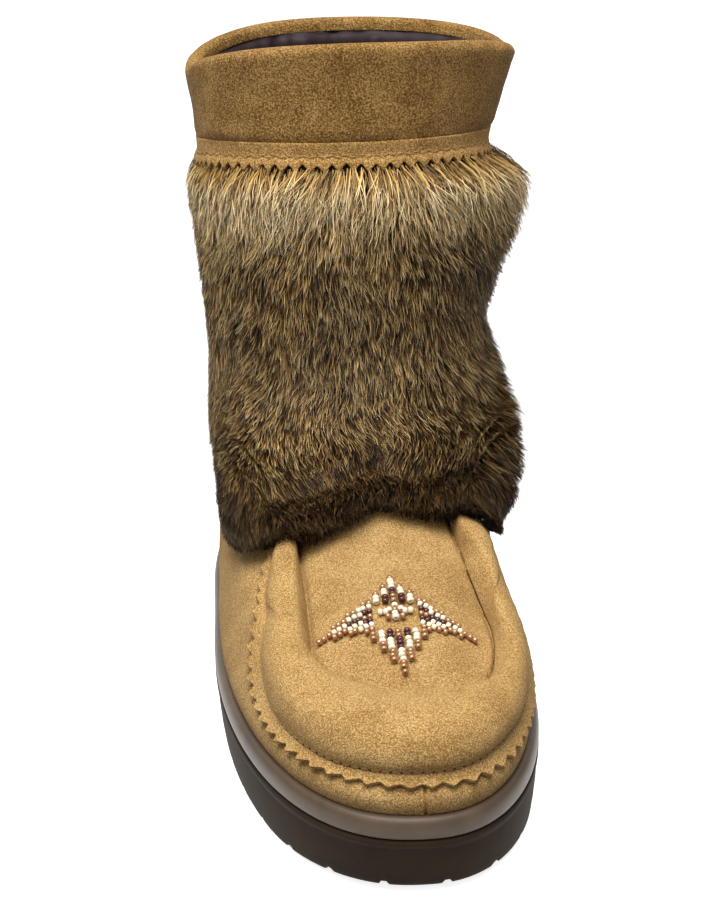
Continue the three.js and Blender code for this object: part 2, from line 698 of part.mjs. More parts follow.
function beadFlower() {
  const reach = STRING_PITCH * 1.4;
  const bars = [-1, 0, 1].map((k) => {
    const half = reach * (1 - 0.3 * Math.abs(k));
    return beadString([k * STRING_PITCH, -half], [k * STRING_PITCH, half]);
  });
  return geometryFrom(bars.reduce((a, b) => a.add(b)));
}

// Materials: colour, roughness

const material = (color, roughness) => new THREE.MeshStandardMaterial({ color, roughness, metalness: 0 });
const SUEDE = 0xb08a56;
const PALE_SUEDE = 0xb9935f;
const FUR_COLOUR = 0x7d6748;
const RUBBER = 0x3a312b;
const BAND = 0x584c46;
const FELT = 0x4a3d3a;
const COPPER = 0xa9744b;
const CREAM = 0xe8dcc6;

const pieces = [
  ["outsole", outsole(), material(RUBBER, 0.7)],
  ["midsole", midsole(), material(BAND, 0.6)],
  ["insole", insole(), material(FELT, 0.9)],
  ["upper", upper(), material(SUEDE, 0.95)],
  ["apron", apron(), material(PALE_SUEDE, 0.95)],
  ["fur_cuff", furCuff(), material(FUR_COLOUR, 0.9)],
  ["collar", collar(), material(SUEDE, 0.95)],
  ["collar_trim", collarTrim(), material(PALE_SUEDE, 0.95)],
  ["bead_star", beadStar(), material(COPPER, 0.35)],
  ["bead_flower", beadFlower(), material(CREAM, 0.35)],
];

const boot = new THREE.Group();
for (const [name, geometry, look] of pieces) {
  const mesh = new THREE.Mesh(geometry, look);
  mesh.name = name;
  boot.add(mesh);
}
boot.position.x = -ORIGIN_X;

export default boot;
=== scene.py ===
# %% [markdown]
# # A mukluk boot
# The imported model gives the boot's real size and place. This notebook dresses it: each rigid or soft
# solid gets a finer piece in its place, worked out with numpy from the same few sizes, and a material
# named for what the real one is made of. Millimetres are used throughout, with X to the medial side,
# Y to the heel and Z up, and only the last step of each piece turns them into metres.

import bmesh
import bpy
import numpy as np
from mathutils import Matrix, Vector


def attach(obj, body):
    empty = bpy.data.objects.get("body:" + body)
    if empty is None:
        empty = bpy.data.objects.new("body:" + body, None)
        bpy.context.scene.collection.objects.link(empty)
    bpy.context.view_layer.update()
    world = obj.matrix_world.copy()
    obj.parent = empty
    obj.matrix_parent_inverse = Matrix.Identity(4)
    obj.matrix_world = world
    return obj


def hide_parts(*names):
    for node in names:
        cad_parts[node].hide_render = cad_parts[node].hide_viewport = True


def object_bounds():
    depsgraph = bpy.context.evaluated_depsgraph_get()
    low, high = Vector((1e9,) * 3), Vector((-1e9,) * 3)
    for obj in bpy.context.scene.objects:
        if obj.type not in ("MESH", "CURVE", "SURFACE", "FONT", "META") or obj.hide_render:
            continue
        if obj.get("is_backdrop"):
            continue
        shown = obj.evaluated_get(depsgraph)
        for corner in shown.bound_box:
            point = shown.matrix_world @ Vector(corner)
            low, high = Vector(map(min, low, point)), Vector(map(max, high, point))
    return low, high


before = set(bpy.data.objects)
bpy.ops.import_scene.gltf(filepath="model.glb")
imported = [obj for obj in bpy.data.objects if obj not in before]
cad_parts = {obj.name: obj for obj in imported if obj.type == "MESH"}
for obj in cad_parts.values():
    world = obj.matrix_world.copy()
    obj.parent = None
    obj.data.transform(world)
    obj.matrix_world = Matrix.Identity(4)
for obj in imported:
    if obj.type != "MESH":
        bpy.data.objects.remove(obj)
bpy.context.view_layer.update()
print("nodes:", ", ".join(sorted(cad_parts)))

# %% [markdown]
# ## Camera
# The photograph looks down at the boot from in front, a little to its left, with a fairly long lens.
# The focal length is kept in pixels of the 720 by 900 picture and turned into Blender's millimetres
# of lens, because Blender counts the lens against a sensor 36 mm along the longer side.

# %% Camera
MM = 0.001
PICTURE_HEIGHT_PX = 900
SENSOR = 36
CAMERA_PLACE = (-62.4, -631.3, 328.9)
CAMERA_TURN, CAMERA_DOWN, CAMERA_ROLL = np.radians([-5.24, 20.21, -1.16])
FOCAL_PX = 1876.8


def camera_axes(turn, down, roll):
    """The camera's right, up and back axes: the view is turned from +Y, tipped down, then rolled."""
    forward = np.array([-np.sin(turn) * np.cos(down), np.cos(turn) * np.cos(down), -np.sin(down)])
    level = np.array([np.cos(turn), np.sin(turn), 0])
    upright = np.cross(level, forward)
    right = np.cos(roll) * level + np.sin(roll) * upright
    up = -np.sin(roll) * level + np.cos(roll) * upright
    return np.stack([right, up, -forward])


camera_data = bpy.data.cameras.new("camera")
camera_data.lens = FOCAL_PX * SENSOR / PICTURE_HEIGHT_PX
camera_data.sensor_width = SENSOR
camera = bpy.data.objects.new("camera", camera_data)
pose = Matrix(camera_axes(CAMERA_TURN, CAMERA_DOWN, CAMERA_ROLL).T.tolist()).to_4x4()
pose.translation = [v * MM for v in CAMERA_PLACE]
camera.matrix_world = pose
bpy.context.scene.collection.objects.link(camera)
bpy.context.scene.camera = camera
print("lens", round(camera_data.lens, 1), "mm")

# %% [markdown]
# ## Small helpers
# Every piece is a grid of points, so two helpers carry most of the work: one joins the points of a
# grid into four-sided faces, and one puts points and faces into a mesh. A third makes smooth noise
# from a few sine waves, which gives hand-sewn pieces their slight unevenness.

# %% Grids and meshes
ORIGIN_X = 5.5
TURN = 2 * np.pi


def grid_faces(rows, columns, wrap_rows=False, wrap_columns=False):
    """Faces of a grid: each joins point (i, j) to its neighbours in the next column and row."""
    i = np.arange(rows if wrap_rows else rows - 1)[:, None]
    j = np.arange(columns if wrap_columns else columns - 1)[None, :]
    k, m = (i + 1) % rows, (j + 1) % columns
    corners = [i * columns + j, i * columns + m, k * columns + m, k * columns + j]
    return np.stack([np.broadcast_to(c, (len(i), j.shape[1])) for c in corners], -1).reshape(-1, 4)


def new_mesh(name, points, faces):
    """A mesh from points in millimetres and faces that all have as many corners."""
    placed = (np.asarray(points, float).reshape(-1, 3) - [ORIGIN_X, 0, 0]) * MM
    mesh = bpy.data.meshes.new(name)
    mesh.vertices.add(len(placed))
    mesh.vertices.foreach_set("co", placed.ravel())
    mesh.loops.add(faces.size)
    mesh.loops.foreach_set("vertex_index", faces.ravel().astype(np.int32))
    mesh.polygons.add(len(faces))
    mesh.polygons.foreach_set("loop_start", np.arange(0, faces.size, faces.shape[1], dtype=np.int32))
    mesh.update(calc_edges=True)
    return mesh


def new_piece(name, points, faces, material, stands_for=(), weld=False):
    """A piece of the boot: it rides on the boot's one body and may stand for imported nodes."""
    mesh = new_mesh(name, points, faces)
    if weld:
        shape = bmesh.new()
        shape.from_mesh(mesh)
        bmesh.ops.remove_doubles(shape, verts=shape.verts, dist=0.02 * MM)
        bmesh.ops.dissolve_degenerate(shape, edges=shape.edges, dist=0.01 * MM)
        shape.to_mesh(mesh)
        shape.free()
    mesh.polygons.foreach_set("use_smooth", np.ones(len(mesh.polygons), bool))
    mesh.materials.append(material)
    piece = bpy.data.objects.new(name, mesh)
    bpy.context.scene.collection.objects.link(piece)
    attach(piece, "root")
    if stands_for:
        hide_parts(*stands_for)
    mesh.calc_loop_triangles()
    print(name, len(mesh.loop_triangles), "triangles")
    return piece


def repeated_faces(one, corners, count):
    """Faces of many equal shapes that lie one after another in a list of points."""
    return (one[None] + corners * np.arange(count)[:, None, None]).reshape(-1, one.shape[1])


# %% Values, curves and noise
def set_point_values(piece, name, values):
    """Stores one number for each point of a piece, for its material to read."""
    attribute = piece.data.attributes.new(name, "FLOAT", "POINT")
    attribute.data.foreach_set("value", np.asarray(values, np.float32).ravel())


def smooth(t):
    """The S curve 3t² - 2t³ between 0 and 1."""
    t = np.clip(t, 0, 1)
    return t * t * (3 - 2 * t)


def bump(distance, width):
    """A bell curve that is 1 at distance 0 and fades over the width."""
    return np.exp(-((distance / width) ** 2))


def lengths_along(points):
    """Running length of a line of points: the sum of the steps up to each."""
    return np.concatenate([[0], np.cumsum(np.linalg.norm(np.diff(points, axis=0), axis=1))])


def read_line(at, run, points):
    """Points of a line at given running lengths, mixed from the two beside each."""
    return np.stack([np.interp(at, run, points[:, k]) for k in range(3)], -1)


def ripple(points, wavelength, seed, waves=9):
    """Smooth noise of about -1 to 1: the mean of sine waves that cross in random directions."""
    draw = np.random.default_rng(seed)
    ways = draw.normal(size=(waves, 3))
    ways *= TURN / (np.linalg.norm(ways, axis=1, keepdims=True) * wavelength)
    ways *= draw.uniform(0.7, 1.5, (waves, 1))
    return 2.2 * np.sin(points @ ways.T + draw.uniform(0, TURN, waves)).mean(-1)


# %% [markdown]
# ## Materials
# A colour is written as the hex value that a screen shows, and one function turns it to the linear
# light that Blender counts in. One more function adds a node with its settings and links.

# %% Colour and nodes
def linear(text):
    """An sRGB hex colour as linear red, green, blue and a full alpha."""
    part = np.array([int(text[k:k + 2], 16) / 255 for k in (1, 3, 5)])
    light = np.where(part <= 0.04045, part / 12.92, ((part + 0.055) / 1.055) ** 2.4)
    return [*light.tolist(), 1.0]


def add(tree, kind, settings=None, inputs=None):
    """Adds a node. Settings are its properties or colour stops, inputs are values or sockets."""
    node = tree.nodes.new(kind)
    for name, value in (settings or {}).items():
        if name == "stops":
            stops = node.color_ramp.elements
            while len(stops) < len(value):
                stops.new(0.5)
            for stop, (place, colour) in zip(stops, value):
                stop.position = place
                stop.color = linear(colour)
        else:
            setattr(node, name, value)
    for name, value in (inputs or {}).items():
        if isinstance(value, bpy.types.NodeSocket):
            tree.links.new(value, node.inputs[name])
        else:
            node.inputs[name].default_value = value
    return node


def new_material(name, **values):
    """A material with its shader's own sockets set, and its node tree and shader to build on."""
    material = bpy.data.materials.new(name)
    material.use_nodes = True
    shader = material.node_tree.nodes["Principled BSDF"]
    for socket, value in values.items():
        shader.inputs[socket.replace("_", " ")].default_value = value
    return material, material.node_tree, shader


# %% [markdown]
# ### Suede
# Suede is the split side of a hide, sanded until its fibres stand up. It has no gloss. The fibres
# lie one way in some places and the other way in others, which gives cloudy lighter and darker
# patches a centimetre or two across, and up close the tufts of fibre make a grain of about a
# millimetre. The grain is drawn at half a millimetre.

# %% Suede
GRAIN = 0.52
CLOUD = 16.0


def suede(name, dark, middle, light, grain=GRAIN):
    """Napped suede: grain and clouds of two noises mixed, a soft fuzz and a fine bump."""
    material, tree, shader = new_material(
        name, Roughness=0.93, Specular_IOR_Level=0.15, Sheen_Weight=0.25, Sheen_Roughness=0.45,
        Sheen_Tint=linear(light))
    place = add(tree, "ShaderNodeTexCoord").outputs["Object"]
    tufts = add(tree, "ShaderNodeTexNoise", inputs={
        "Vector": place, "Scale": 1 / (grain * MM), "Detail": 3.0, "Roughness": 0.65}).outputs["Fac"]
    clouds = add(tree, "ShaderNodeTexNoise", inputs={
        "Vector": place, "Scale": 1 / (CLOUD * MM), "Detail": 4.0, "Roughness": 0.6}).outputs["Fac"]
    both = add(tree, "ShaderNodeMix", inputs={0: 0.18, 2: tufts, 3: clouds}).outputs[0]
    colour = add(tree, "ShaderNodeValToRGB", inputs={"Fac": both}, settings={
        "stops": [(0.4, dark), (0.5, middle), (0.6, light)]}).outputs["Color"]
    tree.links.new(colour, shader.inputs["Base Color"])
    relief = add(tree, "ShaderNodeBump", inputs={
        "Height": tufts, "Strength": 1.0, "Distance": 0.55 * MM}).outputs["Normal"]
    tree.links.new(relief, shader.inputs["Normal"])
    return material


suede_foot = suede("napped_suede_foot", "#856234", "#aa8650", "#cfac75")
suede_apron = suede("napped_suede_apron", "#876434", "#ae8850", "#d3b076")
suede_collar = suede("napped_suede_collar", "#573b12", "#846233", "#b58f57", grain=0.6)
suede_trim = suede("napped_suede_trim", "#7c5a28", "#a67f47", "#d2a96d", grain=0.6)
print("suede grain", GRAIN, "mm, clouds", CLOUD, "mm")

# %% [markdown]
# ### Rubber, felt, satin, thread and beads
# The sole is moulded rubber in two browns: a matte dark one below, and a softer grey-brown one with
# a faint sheen for the band. The lining is a polyester satin, so it is smooth and catches light
# along its folds. Seed beads are tiny cut lengths of glass tube with rounded ends, lined or coated:
# copper ones look like metal, cream ones like china, and dark red ones like wet glass.

# %% Rubber
def moulded_rubber(name, colour, shade, roughness, gloss, speck):
    """Moulded rubber: a slow change of tone, fine pits from the mould and a broad soft shine."""
    material, tree, shader = new_material(name, Roughness=roughness, Specular_IOR_Level=gloss)
    place = add(tree, "ShaderNodeTexCoord").outputs["Object"]
    tone = add(tree, "ShaderNodeTexNoise", inputs={
        "Vector": place, "Scale": 1 / (18 * MM), "Detail": 5.0, "Roughness": 0.6}).outputs["Fac"]
    pits = add(tree, "ShaderNodeTexNoise", inputs={
        "Vector": place, "Scale": 1 / (speck * MM), "Detail": 2.0}).outputs["Fac"]
    mixed = add(tree, "ShaderNodeValToRGB", inputs={"Fac": tone}, settings={
        "stops": [(0.35, shade), (0.65, colour)]}).outputs["Color"]
    tree.links.new(mixed, shader.inputs["Base Color"])
    relief = add(tree, "ShaderNodeBump", inputs={
        "Height": pits, "Strength": 0.25, "Distance": 0.12 * MM}).outputs["Normal"]
    tree.links.new(relief, shader.inputs["Normal"])
    return material


rubber_dark = moulded_rubber("moulded_rubber_dark", "#302417", "#251b10", 0.8, 0.15, speck=0.9)
rubber_band = moulded_rubber("moulded_rubber_band", "#594836", "#4a3c2e", 0.48, 0.35, speck=1.2)

# %% Felt, satin and thread
felt, felt_tree, felt_shader = new_material(
    "wool_felt", Roughness=1.0, Specular_IOR_Level=0.1, Sheen_Weight=0.4)
felt_noise = add(felt_tree, "ShaderNodeTexNoise", inputs={
    "Vector": add(felt_tree, "ShaderNodeTexCoord").outputs["Object"],
    "Scale": 1 / (1.6 * MM), "Detail": 4.0}).outputs["Fac"]
felt_colour = add(felt_tree, "ShaderNodeValToRGB", inputs={"Fac": felt_noise}, settings={
    "stops": [(0.3, "#332a29"), (0.7, "#544644")]}).outputs["Color"]
felt_tree.links.new(felt_colour, felt_shader.inputs["Base Color"])

satin, satin_tree, satin_shader = new_material(
    "polyester_satin", Roughness=0.55, Specular_IOR_Level=0.18, Base_Color=linear("#2a1d1f"),
    Anisotropic=0.3)
weave = add(satin_tree, "ShaderNodeTexWave", settings={"bands_direction": "Z"}, inputs={
    "Vector": add(satin_tree, "ShaderNodeTexCoord").outputs["Object"],
    "Scale": 1 / (2.4 * MM), "Distortion": 1.0}).outputs["Fac"]
satin_tree.links.new(add(satin_tree, "ShaderNodeBump", inputs={
    "Height": weave, "Strength": 0.05, "Distance": 0.1 * MM}).outputs["Normal"],
    satin_shader.inputs["Normal"])

thread, _, _ = new_material("waxed_thread", Base_Color=linear("#8a6838"), Roughness=0.7)
tan_thread, _, _ = new_material("tan_thread", Base_Color=linear("#a17b47"), Roughness=0.8)
# The needle holes are drawn as flat near-black dashes: painted shade in the holes.
painted_hole_shade, _, _ = new_material("painted_hole_shade", Base_Color=linear("#2c1f12"), Roughness=1.0)

# %% Glass beads
copper_bead, _, _ = new_material(
    "copper_lined_bead", Base_Color=linear("#b58660"), Metallic=0.55, Roughness=0.3, Coat_Weight=0.4)
cream_bead, _, _ = new_material(
    "opaque_cream_bead", Base_Color=linear("#f0e2c6"), Roughness=0.25, Coat_Weight=0.3)
maroon_bead, _, _ = new_material(
    "dark_red_bead", Base_Color=linear("#4a1a1c"), Roughness=0.2, Coat_Weight=0.2)
print("glass:", ", ".join(glass.name for glass in (copper_bead, cream_bead, maroon_bead)))

# %% [markdown]
# ## The form of the boot
# The foot and shaft are one smooth form, so one formula describes them. Rings lie one above the
# other from the feather line, where the upper meets the sole, to the collar. Each ring is four
# quarter curves through a toe, medial, heel and lateral point, and the rings are joined by smooth
# curves. Everything sewn onto the boot is then placed by an angle round it and a ring up it.

# %% Rings
SOLE_LENGTH = 282.0
BALL_WIDTH = 111.0
SHAFT_WIDTH = 98.0
BOOT_HEIGHT = 230.0
INSTEP_HEIGHT = 82.0
SOLE_HEIGHT = 27.0
HEEL_LIFT = 3.0
FEATHER_INSET = 2.5
UPPER_WALL = 2.2
CLEARANCE = 0.3
HALF_LENGTH = SOLE_LENGTH / 2
HALF_WIDTH = BALL_WIDTH / 2
SHAFT_START = 9
CROWN = 2.4
TRIM_RING, SEAM_RING, TOP_RING = 13, 14, 15
PLACE_COLUMNS = [f"{end}_{axis}" for end in ("toe", "medial", "lateral", "heel") for axis in "xyz"]
# X in half widths, Y in half lengths of the foot, Z 0 at the sole, 1 at the instep, 2 at the collar.
RING_PLACES = np.array([
    [0.147, -1, 0, 1, -0.255, 0, -1.003, 0.041, 0, 0, 0.998, 0],
    [0.147, -0.998, 0.1, 0.995, -0.244, 0.16, -1.003, 0.041, 0.18, 0, 0.993, 0.35],
    [0.147, -0.971, 0.17, 0.963, -0.214, 0.33, -0.963, 0.051, 0.38, 0, 0.972, 0.64],
    [0.147, -0.939, 0.28, 0.911, -0.163, 0.47, -0.911, 0.061, 0.55, 0.01, 0.942, 0.93],
    [0.147, -0.876, 0.36, 0.874, -0.071, 0.64, -0.864, 0.092, 0.71, 0.021, 0.911, 1.09],
    [0.136, -0.723, 0.4, 0.859, 0.061, 0.84, -0.843, 0.163, 0.89, 0.031, 0.891, 1.19],
    [0.126, -0.577, 0.51, 0.869, 0.183, 1.01, -0.84, 0.244, 1.03, 0.042, 0.876, 1.28],
    [0.115, -0.433, 0.64, 0.885, 0.285, 1.1, -0.848, 0.326, 1.1, 0.052, 0.865, 1.37],
    [0.115, -0.26, 0.76, 0.906, 0.377, 1.18, -0.859, 0.397, 1.18, 0.052, 0.857, 1.45],
    [0.113, -0.087, 0.96, 1, 0.428, 1.26, -0.94, 0.438, 1.26, 0.068, 0.851, 1.51],
    [0.113, 0.031, 1.11, 1.019, 0.458, 1.36, -0.951, 0.458, 1.36, 0.079, 0.847, 1.57],
    [0.102, 0.087, 1.28, 1.042, 0.478, 1.46, -0.963, 0.478, 1.46, 0.079, 0.845, 1.63],
    [0.102, 0.102, 1.5, 1.076, 0.478, 1.6, -0.98, 0.478, 1.6, 0.079, 0.845, 1.69],
    [0.091, 0.108, 1.75, 1.121, 0.478, 1.72, -1.01, 0.478, 1.715, 0.079, 0.845, 1.743],
    [0.091, 0.108, 1.83, 1.153, 0.478, 1.797, -1.019, 0.478, 1.79, 0.079, 0.845, 1.818],
    [0.091, 0.108, 2.009, 1.308, 0.478, 1.976, -1.056, 0.478, 1.946, 0.079, 0.851, 2],
])
SHAPE_COLUMNS = ["round_medial", "round_lateral", "round_heel", "waist"]
# How round each ring's quarters are, 2 for an ellipse, and its share of the sole's waist.
RING_SHAPES = np.array([
    [2.2, 2.35, 2.6, 1],
    [2.2, 2.35, 2.6, 1],
    [2.15, 2.3, 2.55, 0.9],
    [2.1, 2.2, 2.5, 0.8],
    [2.05, 2.15, 2.45, 0.6],
    [2.05, 2.1, 2.4, 0.4],
    [2, 2.05, 2.35, 0.2],
    [2, 2, 2.3, 0.1],
    [2, 2, 2.25, 0],
    [2, 2, 2.2, 0],
    [2, 2, 2.2, 0],
    [2.05, 2.05, 2.15, 0],
    [2.1, 2.1, 2.1, 0],
    [2.1, 2.1, 2.1, 0],
    [2.1, 2.1, 2.1, 0],
    [2.1, 2.1, 2.1, 0],
])
FOOT_RISE = INSTEP_HEIGHT - SOLE_HEIGHT
SHAFT_RISE = BOOT_HEIGHT - INSTEP_HEIGHT


def rings_in_millimetres():
    """The rings' places, each share multiplied by the size that it is a share of, and their shapes."""
    shares = RING_PLACES.reshape(-1, 4, 3)
    in_foot = np.arange(len(shares)) < SHAFT_START
    x = shares[..., 0] * np.where(in_foot, HALF_WIDTH - FEATHER_INSET, SHAFT_WIDTH / 2)[:, None]
    y = shares[..., 1] * (HALF_LENGTH - FEATHER_INSET)
    up = shares[..., 2]
    z = np.minimum(up, 1) * FOOT_RISE + np.maximum(up - 1, 0) * SHAFT_RISE
    return np.hstack([np.stack([x, y, z], -1).reshape(len(shares), -1), RING_SHAPES])


SHAPED_RINGS = rings_in_millimetres()
print("rings:", len(SHAPED_RINGS), "with the toe at", np.round(SHAPED_RINGS[:, 2], 1).tolist(), "mm up")


# %% Smooth curves through a table
def catmull(table, place):
    """The smooth curve through a table's rows, at places counted in rows."""
    place = np.clip(np.asarray(place, float), 0, len(table) - 1)
    i = np.minimum(place.astype(int), len(table) - 2)
    t = (place - i)[..., None]
    before, here = table[np.maximum(i - 1, 0)], table[i]
    there, after = table[i + 1], table[np.minimum(i + 2, len(table) - 1)]
    bend = 2 * before - 5 * here + 4 * there - after
    twist = 3 * here - before - 3 * there + after
    return 0.5 * (2 * here + (there - before) * t + bend * t * t + twist * t**3)


# %% Waist and sole plane
WAIST_PLACE, WAIST_SPAN, WAIST_MEDIAL, WAIST_LATERAL = 0.2, 0.27, 0.13, -0.03


def rim_top(y):
    """Height of the sole's top, a plane that rises a little towards the heel."""
    return SOLE_HEIGHT + HEEL_LIFT * (y / SOLE_LENGTH + 0.5)


def waist_at(y, medial):
    """How far the outline is hollowed at the arch: a bell curve along the foot."""
    share = np.where(medial, WAIST_MEDIAL, WAIST_LATERAL)
    return share * HALF_WIDTH * bump(y / HALF_LENGTH - WAIST_PLACE, WAIST_SPAN)


def turned(angle):
    """An angle brought between minus and plus half a turn."""
    return (angle + np.pi) % TURN - np.pi


# %% The boot's surface
def surface(angle, ring):
    """Outer face of the upper: x and y from a quarter of a super-ellipse, z from the ring's ends."""
    angle, ring = np.broadcast_arrays(np.asarray(angle, float), np.asarray(ring, float))
    r = dict(zip(PLACE_COLUMNS + SHAPE_COLUMNS, np.moveaxis(catmull(SHAPED_RINGS, ring), -1, 0)))
    turn = turned(angle)
    medial, a = turn >= 0, np.abs(turn)
    front = a <= np.pi / 2
    side_x, side_y, side_z = (np.where(medial, r["medial_" + k], r["lateral_" + k]) for k in "xyz")
    end_x, end_y, end_z = (np.where(front, r["toe_" + k], r["heel_" + k]) for k in "xyz")
    front_round = np.where(medial, r["round_medial"], r["round_lateral"])
    power = 2 / np.where(front, front_round, r["round_heel"])
    across, along = np.abs(np.sin(a)) ** power, np.abs(np.cos(a)) ** power
    y = side_y + (end_y - side_y) * along
    x = end_x + (side_x - end_x) * across - r["waist"] * waist_at(y, medial) * np.sin(a) ** 2
    climb = (np.where(front, a, np.pi - a) / (np.pi / 2)) ** CROWN
    above = end_z + (side_z - end_z) * climb
    low = np.maximum(0, 1 - above / FOOT_RISE)
    z = SOLE_HEIGHT + above + (rim_top(y) + CLEARANCE - SOLE_HEIGHT) * low
    return np.stack([x, y, z], -1)


STEP = 0.02


def surface_normal(angle, ring):
    """Outward direction: the step round the boot crossed with the step up it."""
    at = np.clip(ring, STEP, TOP_RING - STEP)
    step_round = surface(angle + STEP, at) - surface(angle - STEP, at)
    step_up = surface(angle, at + STEP) - surface(angle, at - STEP)
    made = np.cross(step_round, step_up)
    return made / np.linalg.norm(made, axis=-1, keepdims=True)


def offset(angle, ring, out):
    """A point at a distance out from the upper's face."""
    angle, ring, out = np.broadcast_arrays(*(np.asarray(v, float) for v in (angle, ring, out)))
    return surface(angle, ring) + surface_normal(angle, ring) * out[..., None]


probe = surface(np.radians([0, 90, 180, -90]), 12)
print("shaft width at ring 12:", round(probe[1, 0] - probe[3, 0], 1), "mm")

# %% [markdown]
# ## Sole
# The sole is moulded in two parts. The lower one has a bevelled tread edge, a side that leans out
# a little and a thin raised lip under the band; short notches between the lugs break its lower edge.
# Each part is one grid. Its columns go round the outline, and its rows run from the spine of the
# underside out to the edge, up the side and back in over the top, where they meet on the spine
# again, so the solid closes. Lugs are the same surface lifted where a groove runs.

# %% Sole outline
SOLE_ENDS = {"toe": (0.14, -1), "medial": (1, -0.25), "lateral": (-1, 0.04), "heel": (0, 1)}
SOLE_ROUND = {"medial": 2.2, "lateral": 2.35, "heel": 2.6}
RIM_BAND, RIM_ROUND = 7.0, 2.4
SIDE_DRAFT, TREAD_BEVEL, LIP_HEIGHT, LIP_REACH = 1.6, 3.4, 2.2, 0.9
TOE_SPRING, ARCH_RISE = 2.6, 3.0
LUG_PITCH, LUG_GAP, LUG_DEPTH, LUG_LENGTH = 21.0, 2.6, 2.6, 11.0


def sole_point(angle):
    """Outline of the sole: quarter super-ellipses between its four ends, hollowed at the arch."""
    turn = turned(angle)
    medial, a = turn >= 0, np.abs(turn)
    front = a <= np.pi / 2
    end, side = ([np.where(pick, SOLE_ENDS[one][k], SOLE_ENDS[other][k]) for k in (0, 1)]
                 for pick, one, other in ((front, "toe", "heel"), (medial, "medial", "lateral")))
    rounding = np.where(medial, SOLE_ROUND["medial"], SOLE_ROUND["lateral"])
    power = 2 / np.where(front, rounding, SOLE_ROUND["heel"])
    across, along = np.abs(np.sin(a)) ** power, np.abs(np.cos(a)) ** power
    y = (side[1] + (end[1] - side[1]) * along) * HALF_LENGTH
    x = (end[0] + (side[0] - end[0]) * across) * HALF_WIDTH
    return np.stack([x - waist_at(y, medial) * np.sin(a) ** 2, y], -1)


def outline(angle, inset):
    """The outline drawn in by an inset, square to its own direction."""
    step = sole_point(angle + STEP) - sole_point(angle - STEP)
    step /= np.linalg.norm(step, axis=-1, keepdims=True)
    inwards = np.stack([-step[..., 1], step[..., 0]], -1)
    return sole_point(angle) + inwards * np.asarray(inset)[..., None]


def ground_at(y):
    """Underside of the sole: toe spring, flat forefoot, low arch, flat heel with a worn back edge."""
    t = y / HALF_LENGTH
    spring = TOE_SPRING * smooth((-0.68 - t) / 0.32)
    arch = ARCH_RISE * smooth((t + 0.15) / 0.15) * smooth((0.4 - t) / 0.1)
    return spring + arch + 0.3 * TOE_SPRING * smooth((t - 0.88) / 0.12)


def even_angles(count):
    """Angles that lie at equal steps along the sole's outline."""
    fine = np.linspace(-np.pi, np.pi, 4001)
    lengths = lengths_along(sole_point(fine))
    return np.interp(np.arange(count) / count * lengths[-1], lengths, fine), lengths[-1]


print("tread", LUG_DEPTH, "mm deep, toe spring", TOE_SPRING, "mm")

# %% Tread
SOLE_COLUMNS = 760
SPINE_SHARE = 0.62
CUT_EDGE, CUT_RUN_OUT = 0.7, 9.0
CROSS_CUTS = np.linspace(-0.72, 0.82, 10) * HALF_LENGTH
CROSS_HALF_WIDTH = BALL_WIDTH * 0.21


def within(limit, distance):
    """1 inside a limit and 0 outside it, with a soft edge as wide as a mould's corner."""
    return smooth((limit - distance) / CUT_EDGE)


def tread_cut(points, angles_at_cuts):
    """1 in the grooves between the lugs and 0 on them: grooves square to the edge, and across."""
    made = np.zeros(points.shape[:-1])
    half = LUG_GAP / 2 + CUT_EDGE / 2
    foot = outline(angles_at_cuts, np.zeros(len(angles_at_cuts)))
    way = outline(angles_at_cuts, np.ones(len(angles_at_cuts))) - foot
    for start, direction in zip(foot, way):
        local = points[..., :2] - start
        deep = local @ direction
        aside = np.abs(local @ np.array([-direction[1], direction[0]]))
        reach = within(LUG_LENGTH, deep) * within(CUT_RUN_OUT, -deep)
        made = np.maximum(made, reach * within(half, aside))
    for y in CROSS_CUTS:
        reach = within(CROSS_HALF_WIDTH, np.abs(points[..., 0]))
        made = np.maximum(made, reach * within(half, np.abs(points[..., 1] - y)))
    return made


def sole_grid(rows, columns_at):
    """Rows of (inset, height function, share towards the spine) carried round the outline."""
    made = []
    for inset, height, share in rows:
        flat = outline(columns_at, np.full(len(columns_at), float(inset)))
        spine = np.stack([np.zeros(len(flat)), flat[:, 1] * SPINE_SHARE], -1)
        flat = spine + (flat - spine) * share
        made.append(np.concatenate([flat, height(flat[:, 1])[:, None]], 1))
    return np.stack(made)


def groove_height(y):
    """Height of the line between the two rubbers."""
    return rim_top(y) - RIM_BAND


# %% Outsole
columns_at, sole_girth = even_angles(SOLE_COLUMNS)
cut_count = round(sole_girth / LUG_PITCH)
cut_lengths = (np.arange(cut_count) + 0.5) / cut_count
cut_angles = np.interp(cut_lengths, np.arange(SOLE_COLUMNS + 1) / SOLE_COLUMNS,
                       np.append(columns_at, np.pi))


def under_lip(y):
    """Top of the outsole, just under the band."""
    return groove_height(y) - CLEARANCE


